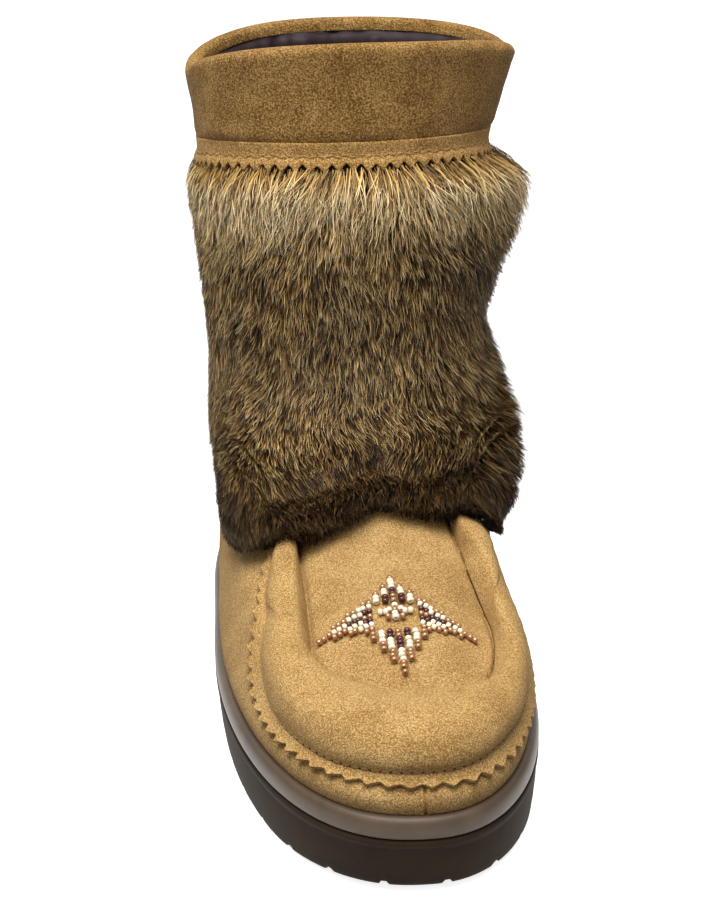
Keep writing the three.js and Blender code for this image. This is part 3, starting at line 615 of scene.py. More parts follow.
# Rows of the outsole: over the underside, up the bevel and the leaning side, round the lip and in.
BOTTOM = SIDE_DRAFT + TREAD_BEVEL * 0.55
FLAT_ROWS_BELOW = 22
outsole_rows = [(BOTTOM, ground_at, share) for share in np.linspace(0, 1, FLAT_ROWS_BELOW)]
outsole_rows += [
    (SIDE_DRAFT + 0.7, lambda y: ground_at(y) + 0.5, 1),
    (SIDE_DRAFT + 0.2, lambda y: ground_at(y) + 1.5, 1),
    (SIDE_DRAFT, lambda y: ground_at(y) + TREAD_BEVEL, 1),
    (SIDE_DRAFT * 0.8, lambda y: ground_at(y) + TREAD_BEVEL * 1.6, 1),
    (SIDE_DRAFT * 0.5, lambda y: (ground_at(y) + under_lip(y)) / 2, 1),
    (SIDE_DRAFT * 0.55, lambda y: under_lip(y) - LIP_HEIGHT * 2, 1),
    (LIP_REACH, lambda y: under_lip(y) - LIP_HEIGHT * 1.25, 1),
    (0.15, lambda y: under_lip(y) - LIP_HEIGHT, 1),
    (0, lambda y: under_lip(y) - LIP_HEIGHT * 0.75, 1),
    (0, lambda y: under_lip(y) - LIP_HEIGHT * 0.4, 1),
    (0.2, lambda y: under_lip(y) - LIP_HEIGHT * 0.15, 1),
    (LIP_REACH, under_lip, 1),
]
outsole_rows += [(LIP_REACH, under_lip, share) for share in (0.75, 0.4, 0)]
outsole_points = sole_grid(outsole_rows, columns_at)
# The grooves are full under the sole and fade on the rows that turn up its side.
LIFT_SHARES = np.concatenate([np.ones(20), [0.9, 0.5, 0.4, 0.15]])[:, None]
cut_rows = len(LIFT_SHARES)
lift = LUG_DEPTH * LIFT_SHARES * tread_cut(outsole_points[:cut_rows], cut_angles)
outsole_points[:cut_rows, :, 2] += lift
RIB_PITCH, RIB_HEIGHT = 5.5, 0.35
rib = RIB_HEIGHT + RIB_HEIGHT * np.cos(outsole_points[:FLAT_ROWS_BELOW, :, 1] / RIB_PITCH * TURN)
outsole_points[:FLAT_ROWS_BELOW, :, 2] += rib * (1 - lift[:FLAT_ROWS_BELOW] / LUG_DEPTH)
print("sole", round(sole_girth), "mm round, with", cut_count, "side grooves")
new_piece("outsole_moulded", outsole_points, grid_faces(
    len(outsole_rows), SOLE_COLUMNS, wrap_columns=True), rubber_dark,
    ["outsole"], weld=True)

# %% [markdown]
# The band above is a separate, softer-looking rubber with a rounded top edge. It is carried round the
# same outline, so its groove against the lower part stays even all the way.

# %% Midsole band
MIDSOLE_COLUMNS = 400
band_at, _ = even_angles(MIDSOLE_COLUMNS)
# Up the band's face: inset from the outline, then share of the band's height.
BAND_EDGE = [
    (LIP_REACH + 0.6, 0.0), (LIP_REACH, 0.0), (0.35, 0.06), (0.1, 0.14), (0.0, 0.3), (0.0, 0.5),
    (0.25, 0.68), (0.7, 0.82), (1.3, 0.92), (2.0, 0.98), (RIM_ROUND + 0.6, 1.0),
]
band_rows = [(RIM_ROUND + 3, groove_height, share) for share in (0, 0.5)]
band_rows += [(inset, lambda y, up=up: groove_height(y) + RIM_BAND * up, 1) for inset, up in BAND_EDGE]
band_rows += [(RIM_ROUND + 3, rim_top, share) for share in (0.5, 0)]
band_points = sole_grid(band_rows, band_at)
new_piece("midsole_band", band_points, grid_faces(
    len(band_rows), MIDSOLE_COLUMNS, wrap_columns=True), rubber_band, ["midsole"],
    weld=True)
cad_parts["insole"].data.materials.clear()
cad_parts["insole"].data.materials.append(felt)

# %% [markdown]
# ## Suede foot
# The foot is a moccasin: a lower panel wraps up round it, and a plug lies on top. One closed shell
# holds both, with the real 2.2 mm of leather and lining, open at the collar and below. The plug is
# padded, so it crowns a little and dips along the line where the apron is sewn down. The lower
# panel is closed by a seam at the toe and one at the heel.

# %% Apron lines
# The apron's pinked edge, then its groove, from the lateral rear round the toe: each as degrees
# round the boot and rings up it.
APRON = np.array([
    [-43, 7.9, -34, 8.8],
    [-48, 7.0, -35.5, 8.0],
    [-55.5, 6.1, -36, 7.6],
    [-63, 4.4, -36, 6.5],
    [-62.5, 3.1, -36, 5.6],
    [-58.5, 2.2, -35, 5.1],
    [-52, 1.55, -30.5, 4.85],
    [-43, 1.35, -23, 4.85],
    [-32, 1.35, -15, 4.9],
    [-18, 1.5, -7, 4.9],
    [-5, 1.55, 0, 4.9],
    [8, 1.45, 8, 4.85],
    [20, 1.3, 19, 4.6],
    [33, 1.2, 32, 4.2],
    [45, 1.15, 43, 4.0],
    [57, 1.1, 50, 3.95],
    [66, 1.1, 54, 4.3],
    [76, 1.3, 53.5, 5.0],
    [82, 1.8, 50.5, 5.7],
    [84, 2.8, 45, 6.7],
    [82, 4.0, 40, 7.4],
    [76, 5.4, 36, 8.4],
], float)


def apron_at(share):
    """The apron's four edge values at shares along it, angles in radians."""
    made = catmull(APRON, np.asarray(share) * (len(APRON) - 1))
    return made * [np.pi / 180, 1, np.pi / 180, 1]


def apron_place(share, across):
    """Angle and ring on the apron: across runs straight from its outer edge to the groove."""
    row = apron_at(share)
    angle = row[..., 0] + (row[..., 2] - row[..., 0]) * across
    return angle, row[..., 1] + (row[..., 3] - row[..., 1]) * across


def on_apron(share, across, out):
    """A point on the apron at a distance out from the foot."""
    return offset(*apron_place(share, across), out)


def nearest(points, line):
    """Distance from each point to the nearest of a line's points, and that point's number."""
    flat = points.reshape(-1, 3)
    best, which = np.full(len(flat), np.inf), np.zeros(len(flat), int)
    for start in range(0, len(line), 40):
        gap = np.linalg.norm(flat[:, None] - line[None, start:start + 40], axis=-1)
        near, at = gap.min(1), gap.argmin(1) + start
        best, which = np.where(near < best, near, best), np.where(near < best, at, which)
    return best.reshape(points.shape[:-1]), which.reshape(points.shape[:-1])


apron_shares = np.linspace(0, 1, 241)
groove_line = on_apron(apron_shares, 1.0, 0.0)
edge_line = on_apron(apron_shares, 0.0, 0.0)
print("apron edge", round(np.linalg.norm(np.diff(edge_line, axis=0), axis=1).sum()), "mm long")

# %% Seams and plug
PLUG_CROWN, PLUG_HOLLOW, GROOVE_DIP = 1.2, 0.9, 2.7
APRON_GAP, APRON_SHEET, APRON_ROLL = 0.4, 1.6, 5.4


def seam(distance, depth=1.2, width=0.6):
    """A sewn seam: a valley with a low welt on each side."""
    return -depth * bump(distance, width) + 0.45 * depth * bump(np.abs(distance) - 2 * width, width)


def plug_lift(points):
    """How far the plug stands off the plain form: crowned inside the groove line, dipped on it."""
    gap, which = nearest(points, groove_line)
    beyond = ((points - groove_line[which]) * (edge_line - groove_line)[which]).sum(-1) > 0
    inside = PLUG_CROWN * smooth(gap / 16) - PLUG_HOLLOW * bump(gap, 7)
    return np.where(beyond, 0, inside) - GROOVE_DIP * bump(gap, 1.4)


# %% Foot shell
# Columns lie closer over the plug, and closer still at the toe's and the heel's seam.
PLUG_SPAN, SEAM_SPAN = 1.3, 0.08
SEAM_STEPS = np.linspace(-0.075, 0.075, 31)
coarse = np.concatenate([
    np.linspace(-np.pi, -PLUG_SPAN, 61)[:-1], np.linspace(-PLUG_SPAN, PLUG_SPAN, 181),
    np.linspace(PLUG_SPAN, np.pi, 61)[1:]])
coarse = coarse[(np.abs(coarse) > SEAM_SPAN) & (np.abs(coarse) < np.pi - SEAM_SPAN)]
angles = np.sort(np.concatenate([coarse, SEAM_STEPS, turned(SEAM_STEPS[:-1] + np.pi)]))
FOOT_COLUMNS = len(angles)
PLUG_TOP_RING, TOE_SEAM_TOP = 9, 3
outer_rings = np.concatenate([np.linspace(0, 9, 76), np.linspace(9.4, TOP_RING, 12)])
inner_rings = np.linspace(TOP_RING, 0, 22)
UNEVEN_LEATHER, UNEVEN_EVERY = 0.35, 34
shell = offset(angles[None], outer_rings[:, None], 0.0)
on_top = np.abs(angles[None]) < np.radians(72)
lift = np.where(on_top & (outer_rings[:, None] < PLUG_TOP_RING), plug_lift(shell), 0)
toe_seam = seam(shell[..., 0] - SHAPED_RINGS[0][0] + 1.5, width=0.5)
lift += np.where((np.abs(angles[None]) < 0.5) & (outer_rings[:, None] < TOE_SEAM_TOP), toe_seam, 0)
lift += np.where(np.abs(angles[None]) > 2.6, seam(shell[..., 0]), 0)
lift += UNEVEN_LEATHER * ripple(shell, UNEVEN_EVERY, 3) * smooth(outer_rings[:, None] / 1.5)
lift -= 0.8 * bump(outer_rings[:, None], 0.35)
shell = offset(angles[None], outer_rings[:, None], lift)
shell[0, :, 2] = surface(angles, 0)[:, 2]
inside = offset(angles[None], inner_rings[:, None], 0.0)
dip = np.where(on_top & (inner_rings[:, None] < PLUG_TOP_RING), np.minimum(plug_lift(inside), 0), 0)
inside = offset(angles[None], inner_rings[:, None], dip - UPPER_WALL)
inside[-1, :, 2] = surface(angles, 0)[:, 2]
foot_points = np.concatenate([shell, inside])
new_piece("suede_foot", foot_points, grid_faces(
    len(foot_points), FOOT_COLUMNS, wrap_rows=True, wrap_columns=True), suede_foot, ["upper"])

# %% [markdown]
# ## Apron
# The apron is one strip of thick suede. Its outer edge is cut with pinking shears and lies flat on
# the lower panel, a line of stitches holds it down, and then it swells into a padded roll that dives
# into the groove beside the plug. Its section is written as a height over the foot against the
# distance from the pinked edge, and the teeth are a triangle wave that moves that edge in and out.

# %% Teeth and width
TOE_PINK_PITCH = 6.6
TOE_SHARE = 0.554
SAMPLES_PER_TOOTH = 12


def triangle_wave(turns):
    """A wave that falls from 1 to 0 and climbs back once each turn, with slightly blunt ends."""
    raw = 2 * np.abs(turns % 1 - 0.5)
    return np.clip((raw - 0.06) / 0.88, 0, 1)


edge_run = lengths_along(edge_line)
teeth = round(edge_run[-1] / TOE_PINK_PITCH)
apron_columns = teeth * SAMPLES_PER_TOOTH + 1
tooth_turns = np.linspace(0, teeth, apron_columns)
even_share = np.interp(tooth_turns / teeth * edge_run[-1], edge_run, apron_shares)
width = np.linalg.norm(on_apron(even_share, 0, 0) - on_apron(even_share, 1, 0), axis=1)
uneven = 1 + 0.16 * ripple(on_apron(even_share, 0, 0), 17, 5)
edge_ease = smooth(np.minimum((even_share - 0.015) / 0.06, (1 - even_share) / 0.04))
at_toe = bump(even_share - TOE_SHARE, 0.245)
medial_rear = smooth((even_share - 0.62) / 0.12)
notch = (1.7 + 1.5 * at_toe) * (1 - 0.5 * medial_rear) * triangle_wave(tooth_turns) * uneven
flange = 4.4 + 6.2 * at_toe
crest = 0.46 + 0.02 * at_toe + 0.26 * medial_rear


# %% Section of the apron
def apron_height(distance):
    """Height of the apron's face: sheet, stitch channel, then a padded roll down to the groove.

    The roll's outer side is the mean of a quarter circle and a quarter wave at the toe and a quarter
    wave with a soft foot at the sides. Its inner side dives steeply into the groove everywhere.
    """
    along_roll = np.clip((distance - flange + 0.6) / (width - flange + 0.6), 0, 1)
    up_side = np.minimum(along_roll / crest, 1)
    wave = np.sin(up_side * np.pi / 2)
    outer_round = (np.sqrt(1 - (1 - up_side) ** 2) + wave) / 2
    outer_soft = np.sqrt(wave**2 + 0.01) - 0.1 + 0.095 * wave
    outer = outer_soft + (outer_round - outer_soft) * smooth((at_toe - 0.35) / 0.4)
    inner = (1 - (np.maximum(along_roll - crest, 0) / (1 - crest)) ** 2.4) ** 0.4
    roll = APRON_ROLL * (0.1 + 0.9 * edge_ease) * (1 + 0.15 * at_toe) * outer * inner
    channel = 0.8 * at_toe**2 * bump(distance - flange + 0.3, 0.9)
    return APRON_SHEET + roll - channel - 4.0 * smooth((along_roll - 0.93) / 0.07)


# %% Apron strip
# Rows round the cut edge: distance in from it, then share of the sheet's thickness.
EDGE_ROWS = [(0.0, 0.12), (0.02, 0.55), (0.1, 0.9), (0.35, 1.02)]
# Rows over the flat part and just past it, as shares of its width.
FLAT_ROWS = np.array([0.12, 0.25, 0.4, 0.55, 0.7, 0.82, 0.9, 0.95, 1.0, 1.05, 1.12, 1.2])
CURL = (0.75 + 0.6 * ripple(on_apron(even_share, 0, 0), 23, 9)) * (1 - 0.9 * medial_rear)


def apron_row(inward, height):
    """A line of the apron's outer face, its rim lifted where the teeth curl away from the foot."""
    return on_apron(even_share, inward / width, APRON_GAP + height + CURL * bump(inward, 2.6))


top_rows = [apron_row(notch + inward, APRON_SHEET * part) for inward, part in EDGE_ROWS]
for part in FLAT_ROWS:
    inward = np.maximum(part * flange, notch + 0.25 + 0.35 * part)
    top_rows.append(apron_row(inward, apron_height(inward)))
for part in [*np.linspace(0.05, 0.92, 19), 0.95, 0.975, 1.0]:
    inward = flange * FLAT_ROWS[-1] + part * (width - flange * FLAT_ROWS[-1])
    top_rows.append(apron_row(inward, apron_height(inward)))
# The face against the foot: share of the way to the groove, then height, low where it dives in.
UNDER_FACE = [(1.0, -2.9), (0.95, -1.2), (0.85, 0.05), (0.6, 0.05), (0.4, 0.05)]
under_rows = [on_apron(even_share, share, out) for share, out in UNDER_FACE]
under_rows += [apron_row(np.maximum(inward, notch + 0.3), 0.0) for inward in (5.0, 3.6, 1.6, 0.0)]
apron_points = np.stack(top_rows + under_rows)
softness = 0.3 * ripple(apron_points, 19, 12) + 0.14 * ripple(apron_points, 6, 13)
roll_rows = slice(len(EDGE_ROWS) + 10, len(top_rows) - 1)
apron_points[roll_rows, :, 2] += softness[roll_rows]


def close_ends(piece):
    """Fills the open ends of a strip."""
    shape = bmesh.new()
    shape.from_mesh(piece.data)
    open_edges = [edge for edge in shape.edges if len(edge.link_faces) == 1]
    bmesh.ops.holes_fill(shape, edges=open_edges, sides=0)
    bmesh.ops.triangulate(shape, faces=[face for face in shape.faces if len(face.verts) > 4])
    shape.to_mesh(piece.data)
    shape.free()


apron = new_piece("apron_roll", apron_points, grid_faces(
    *apron_points.shape[:2], wrap_rows=True), suede_apron, ["apron"])
close_ends(apron)
print("apron", teeth, "teeth, up to", round(width.max(), 1), "mm from edge to groove")

# %% [markdown]
# ## Stitches
# The thread shows as short rounded dashes between needle holes. Each dash is a small grid turned
# about its own length, and all the dashes of a line are computed at once and joined in one mesh.

# %% Dashes
DASH_ENDS = np.array([-0.5, -0.42, -0.2, 0.2, 0.42, 0.5])
DASH_GIRTHS = np.array([0.12, 0.7, 1.0, 1.0, 0.7, 0.12])
DASH_ROUND = 8


def dashes(path, pitch, length, radius, flatness=0.6):
    """Capsules at even steps along a path of (points, normals): a round section on a short axis."""
    points, normals = path
    run = lengths_along(points)
    at = np.arange(pitch / 2, run[-1], pitch)
    centre, out = read_line(at, run, points), read_line(at, run, normals)
    ahead = read_line(at + 0.5, run, points) - centre
    ahead /= np.linalg.norm(ahead, axis=1, keepdims=True) + 1e-9
    side = np.cross(out, ahead)
    side /= np.linalg.norm(side, axis=1, keepdims=True)
    out = np.cross(ahead, side)
    along, girth = DASH_ENDS * length, DASH_GIRTHS * radius
    turn = np.arange(DASH_ROUND) / DASH_ROUND * TURN
    grid = (centre[:, None, None] + ahead[:, None, None] * along[:, None, None]
            + side[:, None, None] * (girth[:, None] * np.cos(turn))[..., None]
            + out[:, None, None] * (girth[:, None] * np.sin(turn))[..., None] * flatness)
    one = grid_faces(len(DASH_ENDS), DASH_ROUND, wrap_columns=True)[:, ::-1]
    return grid.reshape(-1, 3), repeated_faces(one, len(DASH_ENDS) * DASH_ROUND, len(at))


def apron_path(distance, out):
    """A line on the apron at distances in from its edge, with its outward normals."""
    angle, ring = apron_place(even_share, distance / width)
    return offset(angle, ring, APRON_GAP + apron_height(distance) + out), surface_normal(angle, ring)


# %% Apron stitches
STITCH_PITCH, STITCH_LENGTH, THREAD_RADIUS = 3.3, 2.3, 0.42
STITCH_LINE = flange - 0.3
at_front = (even_share > 0.3) & (even_share < 0.8)
stitch_path = [part[at_front] for part in apron_path(STITCH_LINE, 0.05)]
stitch_points, stitch_faces = dashes(stitch_path, STITCH_PITCH, STITCH_LENGTH, THREAD_RADIUS)
new_piece("apron_stitches", stitch_points, stitch_faces, thread)
# Between the stitches, flat dark dashes paint the shade in the needle holes.
hole_path = [part[at_front] for part in apron_path(STITCH_LINE, -0.05)]
hole_run = lengths_along(hole_path[0])
between = np.clip(hole_run + STITCH_PITCH / 2, 0, hole_run[-1])
shifted = [read_line(between, hole_run, part) for part in hole_path]
hole_points, hole_faces = dashes(shifted, STITCH_PITCH, 0.9, THREAD_RADIUS, flatness=0.35)
new_piece("apron_needle_hole_shade", hole_points, hole_faces, painted_hole_shade)

# %% [markdown]
# ## Collar, trim and lining
# The collar is a wide band of suede turned over the top edge, with a soft rolled rim. Below it a
# narrower band, cut with pinking shears, lies over the top of the fur. Inside, a satin lining hangs
# from the turned edge in small puckers. All three are sections carried round the shaft.

# %% Collar band
COLLAR_COLUMNS = 360
COLLAR_THICKNESS, COLLAR_TURN_IN = 2.2, 2.0
RIM_RISE_FRONT, RIM_RISE_BACK = 4.0, 1.4
collar_at = np.linspace(-np.pi, np.pi, COLLAR_COLUMNS, endpoint=False)
front_share, back_share = np.maximum(np.cos(collar_at), 0), np.maximum(-np.cos(collar_at), 0)
collar_rise = RIM_RISE_FRONT * front_share**1.5 + RIM_RISE_BACK * back_share**1.5


def collar_row(up, out, lift=0.0):
    """A ring of the collar: up from the seam (0) to the top edge (1), at a distance out."""
    low, high = offset(collar_at, SEAM_RING, out), offset(collar_at, TOP_RING, out)
    high[:, 2] += collar_rise
    made = low + (high - low) * up
    made[:, 2] += lift
    return made


FAR = CLEARANCE + COLLAR_THICKNESS
top_height = np.mean(surface(collar_at, TOP_RING)[:, 2] - surface(collar_at, SEAM_RING)[:, 2])
# Each row is a share of the way up, a distance out and a rise: first the folded lower edge.
section = [(0.005, 0.5, 0), (-0.02, 0.8, 0), (-0.03, 1.3, 0), (-0.015, 1.7, 0), (0.02, 1.95, 0)]
# The band's face, a little hollow.
section += [(up, FAR - 0.2 + 0.4 * up - 0.4 * np.sin(up * np.pi), 0)
            for up in np.linspace(0.1, 0.92, 16)]
# The rolled rim, half an ellipse from the face over to the inside.
rim = np.linspace(0.1, np.pi + 0.1, 13)
INNER_FACE = UPPER_WALL + 1.5
RIM_HALF = (FAR + 0.1 + INNER_FACE) / 2
rim_centre = FAR + 0.1 - RIM_HALF
section += [(0.985, rim_centre + RIM_HALF * np.cos(a), RIM_HALF * 0.95 * np.sin(a)) for a in rim]
# The turned-in suede, and the way back between it and the upper's wall.
inner_drop = COLLAR_TURN_IN / top_height
section += [(0.985 - inner_drop * t, -INNER_FACE, 0) for t in (0.2, 0.5, 0.8, 0.95)]
section += [(0.985 - inner_drop, 0.4 - INNER_FACE, 0), (0.985 - inner_drop, -UPPER_WALL - 0.6, 0)]
section += [(0.9, -UPPER_WALL - 0.4, 0), (0.99, -UPPER_WALL - 0.4, 0.2)]
section += [(0.99, 0.4, 0.2), (0.5, 0.4, 0)]
collar_points = np.stack([collar_row(*row) for row in section])
wander = 0.55 * ripple(collar_points, 42, 21) + 0.16 * ripple(collar_points, 11, 22)
outward = surface_normal(collar_at, TOP_RING - 0.5)
collar_points[4:-4] += wander[4:-4, :, None] * outward
new_piece("collar_band", collar_points, grid_faces(
    len(section), COLLAR_COLUMNS, wrap_rows=True, wrap_columns=True), suede_collar,
    ["collar"])

# %% Pinked trim
TRIM_PINK_PITCH, TRIM_PINK_DEPTH, TRIM_THICKNESS = 4.9, 2.0, 1.5
SAMPLES_PER_TRIM_TOOTH = 10
fine_at = np.linspace(-np.pi, np.pi, 721)
trim_run = lengths_along(surface(fine_at, TRIM_RING))
trim_teeth = round(trim_run[-1] / TRIM_PINK_PITCH)
trim_columns = trim_teeth * SAMPLES_PER_TRIM_TOOTH
trim_turns = np.arange(trim_columns) / SAMPLES_PER_TRIM_TOOTH
trim_at = np.interp(trim_turns / trim_teeth * trim_run[-1], trim_run, fine_at)
trim_height = surface(0, SEAM_RING)[2] - surface(0, TRIM_RING)[2]
trim_uneven = 1 + 0.2 * ripple(offset(trim_at, TRIM_RING, 0), 12, 31)
trim_notch = TRIM_PINK_DEPTH * triangle_wave(trim_turns) * trim_uneven / trim_height
flare = 1.5 + 0.5 * ripple(offset(trim_at, TRIM_RING, 0), 15, 32)
# Share of the way from the teeth to the seam, then share of the thickness.
TRIM_ROWS = [(0.0, 0.3), (0.01, 0.8), (0.02, 1.0)]
TRIM_ROWS += [(t, 1.0) for t in (0.07, 0.13, 0.2, 0.26, 0.31, 0.35, 0.39, 0.45)]
TRIM_ROWS += [(t, 1.0) for t in (0.56, 0.66, 0.76, 0.86, 0.94, 1.0)]
STITCHED_ROW = 10


def trim_row(up, thickness, out):
    """A ring of the trim, up from its pinked edge (0) to the seam (1), flared over the fur."""
    place = up * (1 - trim_notch) + trim_notch
    channel = 0.3 * bump(up * trim_height - 3.9, 0.7)
    away = CLEARANCE + out + thickness * TRIM_THICKNESS + flare * (1 - smooth(place / 0.6)) - channel
    return offset(trim_at, TRIM_RING + 0.03 + place * (SEAM_RING - 0.06 - TRIM_RING), away)


trim_rows = [trim_row(up, thickness, 0.1) for up, thickness in TRIM_ROWS]
trim_rows += [trim_row(up, 0, 0.0) for up in (1.0, 0.7, 0.4, 0.15, 0.0)]
trim_points = np.stack(trim_rows)
new_piece("pinked_trim", trim_points, grid_faces(
    len(trim_rows), trim_columns, wrap_rows=True, wrap_columns=True), suede_trim,
    ["collar_trim"])
trim_path_points = np.concatenate([trim_rows[STITCHED_ROW], trim_rows[STITCHED_ROW][:1]])
trim_normals = surface_normal(np.append(trim_at, np.pi), TRIM_RING + 0.4)
TRIM_STITCH_PITCH, TRIM_STITCH_LENGTH, TRIM_THREAD_RADIUS = 2.9, 2.1, 0.3
trim_stitch_points, trim_stitch_faces = dashes(
    (trim_path_points, trim_normals), TRIM_STITCH_PITCH, TRIM_STITCH_LENGTH, TRIM_THREAD_RADIUS)
new_piece("trim_stitches", trim_stitch_points, trim_stitch_faces, tan_thread)
print("trim", trim_teeth, "teeth of", TRIM_PINK_DEPTH, "mm")

# %% Satin lining
# The lining hangs from the turned edge in pleats, lies behind the plug's dip further down, and has
# one seam at the heel.
LINING_COLUMNS = 330
SHAFT_RADIUS = 52.0
lining_at = np.linspace(-np.pi, np.pi, LINING_COLUMNS, endpoint=False)
lining_rings = np.concatenate([
    np.linspace(14.96, 14.2, 14), np.linspace(14.05, 11, 10), np.linspace(10.6, 0.6, 20)])
below_lip = (14.93 - lining_rings)[:, None]
in_front = 0.45 + 0.55 * smooth(np.cos(lining_at) + 0.6)
deeper = 3.6 * smooth((10.2 - lining_rings) / 1.5)[:, None] * in_front
girth_at = lining_at * SHAFT_RADIUS
pleat = 0.5 * np.sin(girth_at / 1.7 + 2.6 * np.sin(girth_at / 11)) + 0.6 * np.sin(girth_at / 3.4 + 2)
pleat *= 0.6 + 0.5 * np.sin(girth_at / 8 + 1)
hang = smooth(below_lip / 0.16) * np.clip((lining_rings[:, None] - 9) / 5, 0, 1)
pucker = 1.5 * pleat[None] * smooth(below_lip / 0.12) * bump(below_lip - 0.2, 0.9)
from_seam = (np.abs(lining_at) - np.pi) * SHAFT_RADIUS
seam_dip = 1.2 * bump(from_seam, 1.6)[None] * smooth(lining_rings[:, None] / 4)
inward = UPPER_WALL + 1.1 + 2.2 * hang + deeper + pucker - seam_dip
drape = offset(lining_at[None], lining_rings[:, None], -inward)
inward -= 0.5 * ripple(drape, 26, 41) * smooth((14.8 - lining_rings[:, None]) / 1.5)
face = offset(lining_at[None], lining_rings[:, None], -inward)
back = offset(lining_at[None], lining_rings[::-4, None], -UPPER_WALL - 0.25 - 0.9 * deeper[::-4])
lining_points = np.concatenate([face, back])
new_piece("satin_lining", lining_points, grid_faces(
    len(lining_points), LINING_COLUMNS, wrap_rows=True, wrap_columns=True), satin)

# %% [markdown]
# ## Fur
# The cuff is a strip of pelt sewn under the trim and over the vamp, hair combed down. Hair by hair it
# is a narrow tapered ribbon: dark at the root, then tan, gold and a cream tip. Neighbouring hairs
# cling together in tufts, and the coat is deepest on the medial side, thin at the waist and folded
# in a crease above the hem. A nearly black hide, about a third of the way out in the coat, closes the
# gaps between the roots; its colour is dark underfur and painted shade deep in the coat.

# %% Coat
FUR_TOP = TRIM_RING + 0.15
# Rings of the hem at every 45 degrees from the toe to the heel.
HEM_MEDIAL = np.array([8.77, 7.5, 4.25, 2.9, 2.0])[:, None]
HEM_LATERAL = np.array([8.77, 7.02, 4.0, 2.7, 2.0])[:, None]
# Depth of the coat in millimetres: place up the cuff, then at the toe, medial, lateral and heel.
COAT = np.array([
    [0.0, 8, 6, 5, 4],
    [0.04, 10, 10, 7, 6],
    [0.08, 10, 14, 7, 6],
    [0.12, 9, 17, 7, 6],
    [0.16, 6, 19.5, 7, 5],
    [0.21, 11, 21, 8, 8],
    [0.34, 11, 22, 8, 9],
    [0.45, 8, 17, 6, 8],
    [0.55, 7, 9, 5, 8],
    [0.64, 8, 5, 5, 9],
    [0.74, 10, 11, 6, 10],
    [0.86, 13, 20, 7, 12],
    [0.95, 13, 21, 8, 12],
    [1.0, 8, 13, 6, 8],
])
# Angle and width of the two places where the fur lies over the ends of the apron's roll.
ROLL_ENDS = [(-0.74, 0.22), (0.85, 0.32)]
OVER_ROLL, OVER_ROLL_TOP = 4.5, 0.22


def hem_ring(angle):
    """Ring of the cuff's lower edge: a smooth curve through its rings at every 45 degrees."""
    place = np.abs(turned(angle)) / (np.pi / 4)
    return np.where(turned(angle) >= 0, catmull(HEM_MEDIAL, place)[..., 0],
                    catmull(HEM_LATERAL, place)[..., 0])


def coat_depth(angle, up):
    """Depth of the fur: the table read up each side, mixed by the angle's sine squared.

    Over the two ends of the apron's roll it is deeper by a bell curve that fades up the cuff.
    """
    toe, medial, lateral, heel = (np.interp(up, COAT[:, 0], COAT[:, k]) for k in (1, 2, 3, 4))
    side = np.sin(angle)
    end = np.where(np.cos(angle) >= 0, toe, heel)
    over_ends = sum(bump(angle - place, width) for place, width in ROLL_ENDS)
    over_roll = OVER_ROLL * over_ends * smooth(1 - up / OVER_ROLL_TOP)
    return end + (np.where(side >= 0, medial, lateral) - end) * side**2 + over_roll


def fur_ring(angle, up):
    """Ring at a place up the cuff, 0 at the hem and 1 under the trim."""
    low = hem_ring(angle)
    return low + (FUR_TOP - low) * up


# %% Hide under the fur
# Near-black hide a third of the way out in the coat: dark underfur and painted shade.
HIDE_COLUMNS, HIDE_THICKNESS, HIDE_SHARE = 110, 0.9, 0.32
hide_at = np.linspace(-np.pi, np.pi, HIDE_COLUMNS, endpoint=False)
hide_ups = np.array([0.03, 0.06, 0.1, 0.15, 0.2, 0.3, 0.4, 0.5, 0.6, 0.7, 0.8, 0.9, 0.96, 1.0])
hide_rise = np.interp(hide_ups, [0, 0.9, 1], [HIDE_SHARE, HIDE_SHARE, 0.02])[:, None]
hide_out = offset(hide_at, fur_ring(hide_at, hide_ups[:, None]),
                  HIDE_THICKNESS + hide_rise * coat_depth(hide_at[None], hide_ups[:, None]))
hide_in = offset(hide_at, fur_ring(hide_at, hide_ups[::-2, None]), CLEARANCE)
hide_points = np.concatenate([hide_out, hide_in])
print("coat", COAT[:, 2].min(), "to", COAT[:, 2].max(), "mm deep on the medial side")

# %% [markdown]
# ### Hair by hair
# Working the boot's surface out again for half a million points would be slow, so it is worked out
# once on a fine net of angles and rings, with its outward directions, and read back between the
# knots. A hair's path is counted in millimetres round and down that net and a height above it.

# %% Net of the surface
NET_ANGLES, NET_RINGS = 720, 270
net_angle = np.linspace(-np.pi, np.pi, NET_ANGLES + 1)
net_ring = np.linspace(0.3, 13.75, NET_RINGS)
net_points = surface(net_angle[:, None], net_ring[None])
net_normals = surface_normal(net_angle[:, None], net_ring[None])
mm_round = np.linalg.norm(np.gradient(net_points, net_angle, axis=0), axis=-1)
mm_up = np.linalg.norm(np.gradient(net_points, net_ring, axis=1), axis=-1)
NET = np.concatenate([net_points, net_normals, mm_round[..., None], mm_up[..., None]], -1)
print("net of", NET.shape[0], "by", NET.shape[1], "knots,", round(mm_round.mean(), 1), "mm a radian")


def read_net(angle, ring):
    """The net's point, normal and two scales at an angle and ring, mixed from the four knots round."""
    u = (turned(angle) + np.pi) / TURN * NET_ANGLES
    v = (ring - net_ring[0]) / (net_ring[-1] - net_ring[0]) * (NET_RINGS - 1)
    v = np.clip(v, 0, NET_RINGS - 1.001)
    i, j = np.minimum(u.astype(int), NET_ANGLES - 1), v.astype(int)
    s, t = (u - i)[..., None], (v - j)[..., None]
    low = NET[i, j] * (1 - s) + NET[i + 1, j] * s
    high = NET[i, j + 1] * (1 - s) + NET[i + 1, j + 1] * s
    made = low * (1 - t) + high * t
    return made[..., :3], made[..., 3:6], made[..., 6], made[..., 7]


# %% Roots and tufts
HAIR_PIECES, HAIRS, FIRST_SEED = 4, 30500, 100
TUFT = 1.5
ROOT_CELLS = (360, 60)


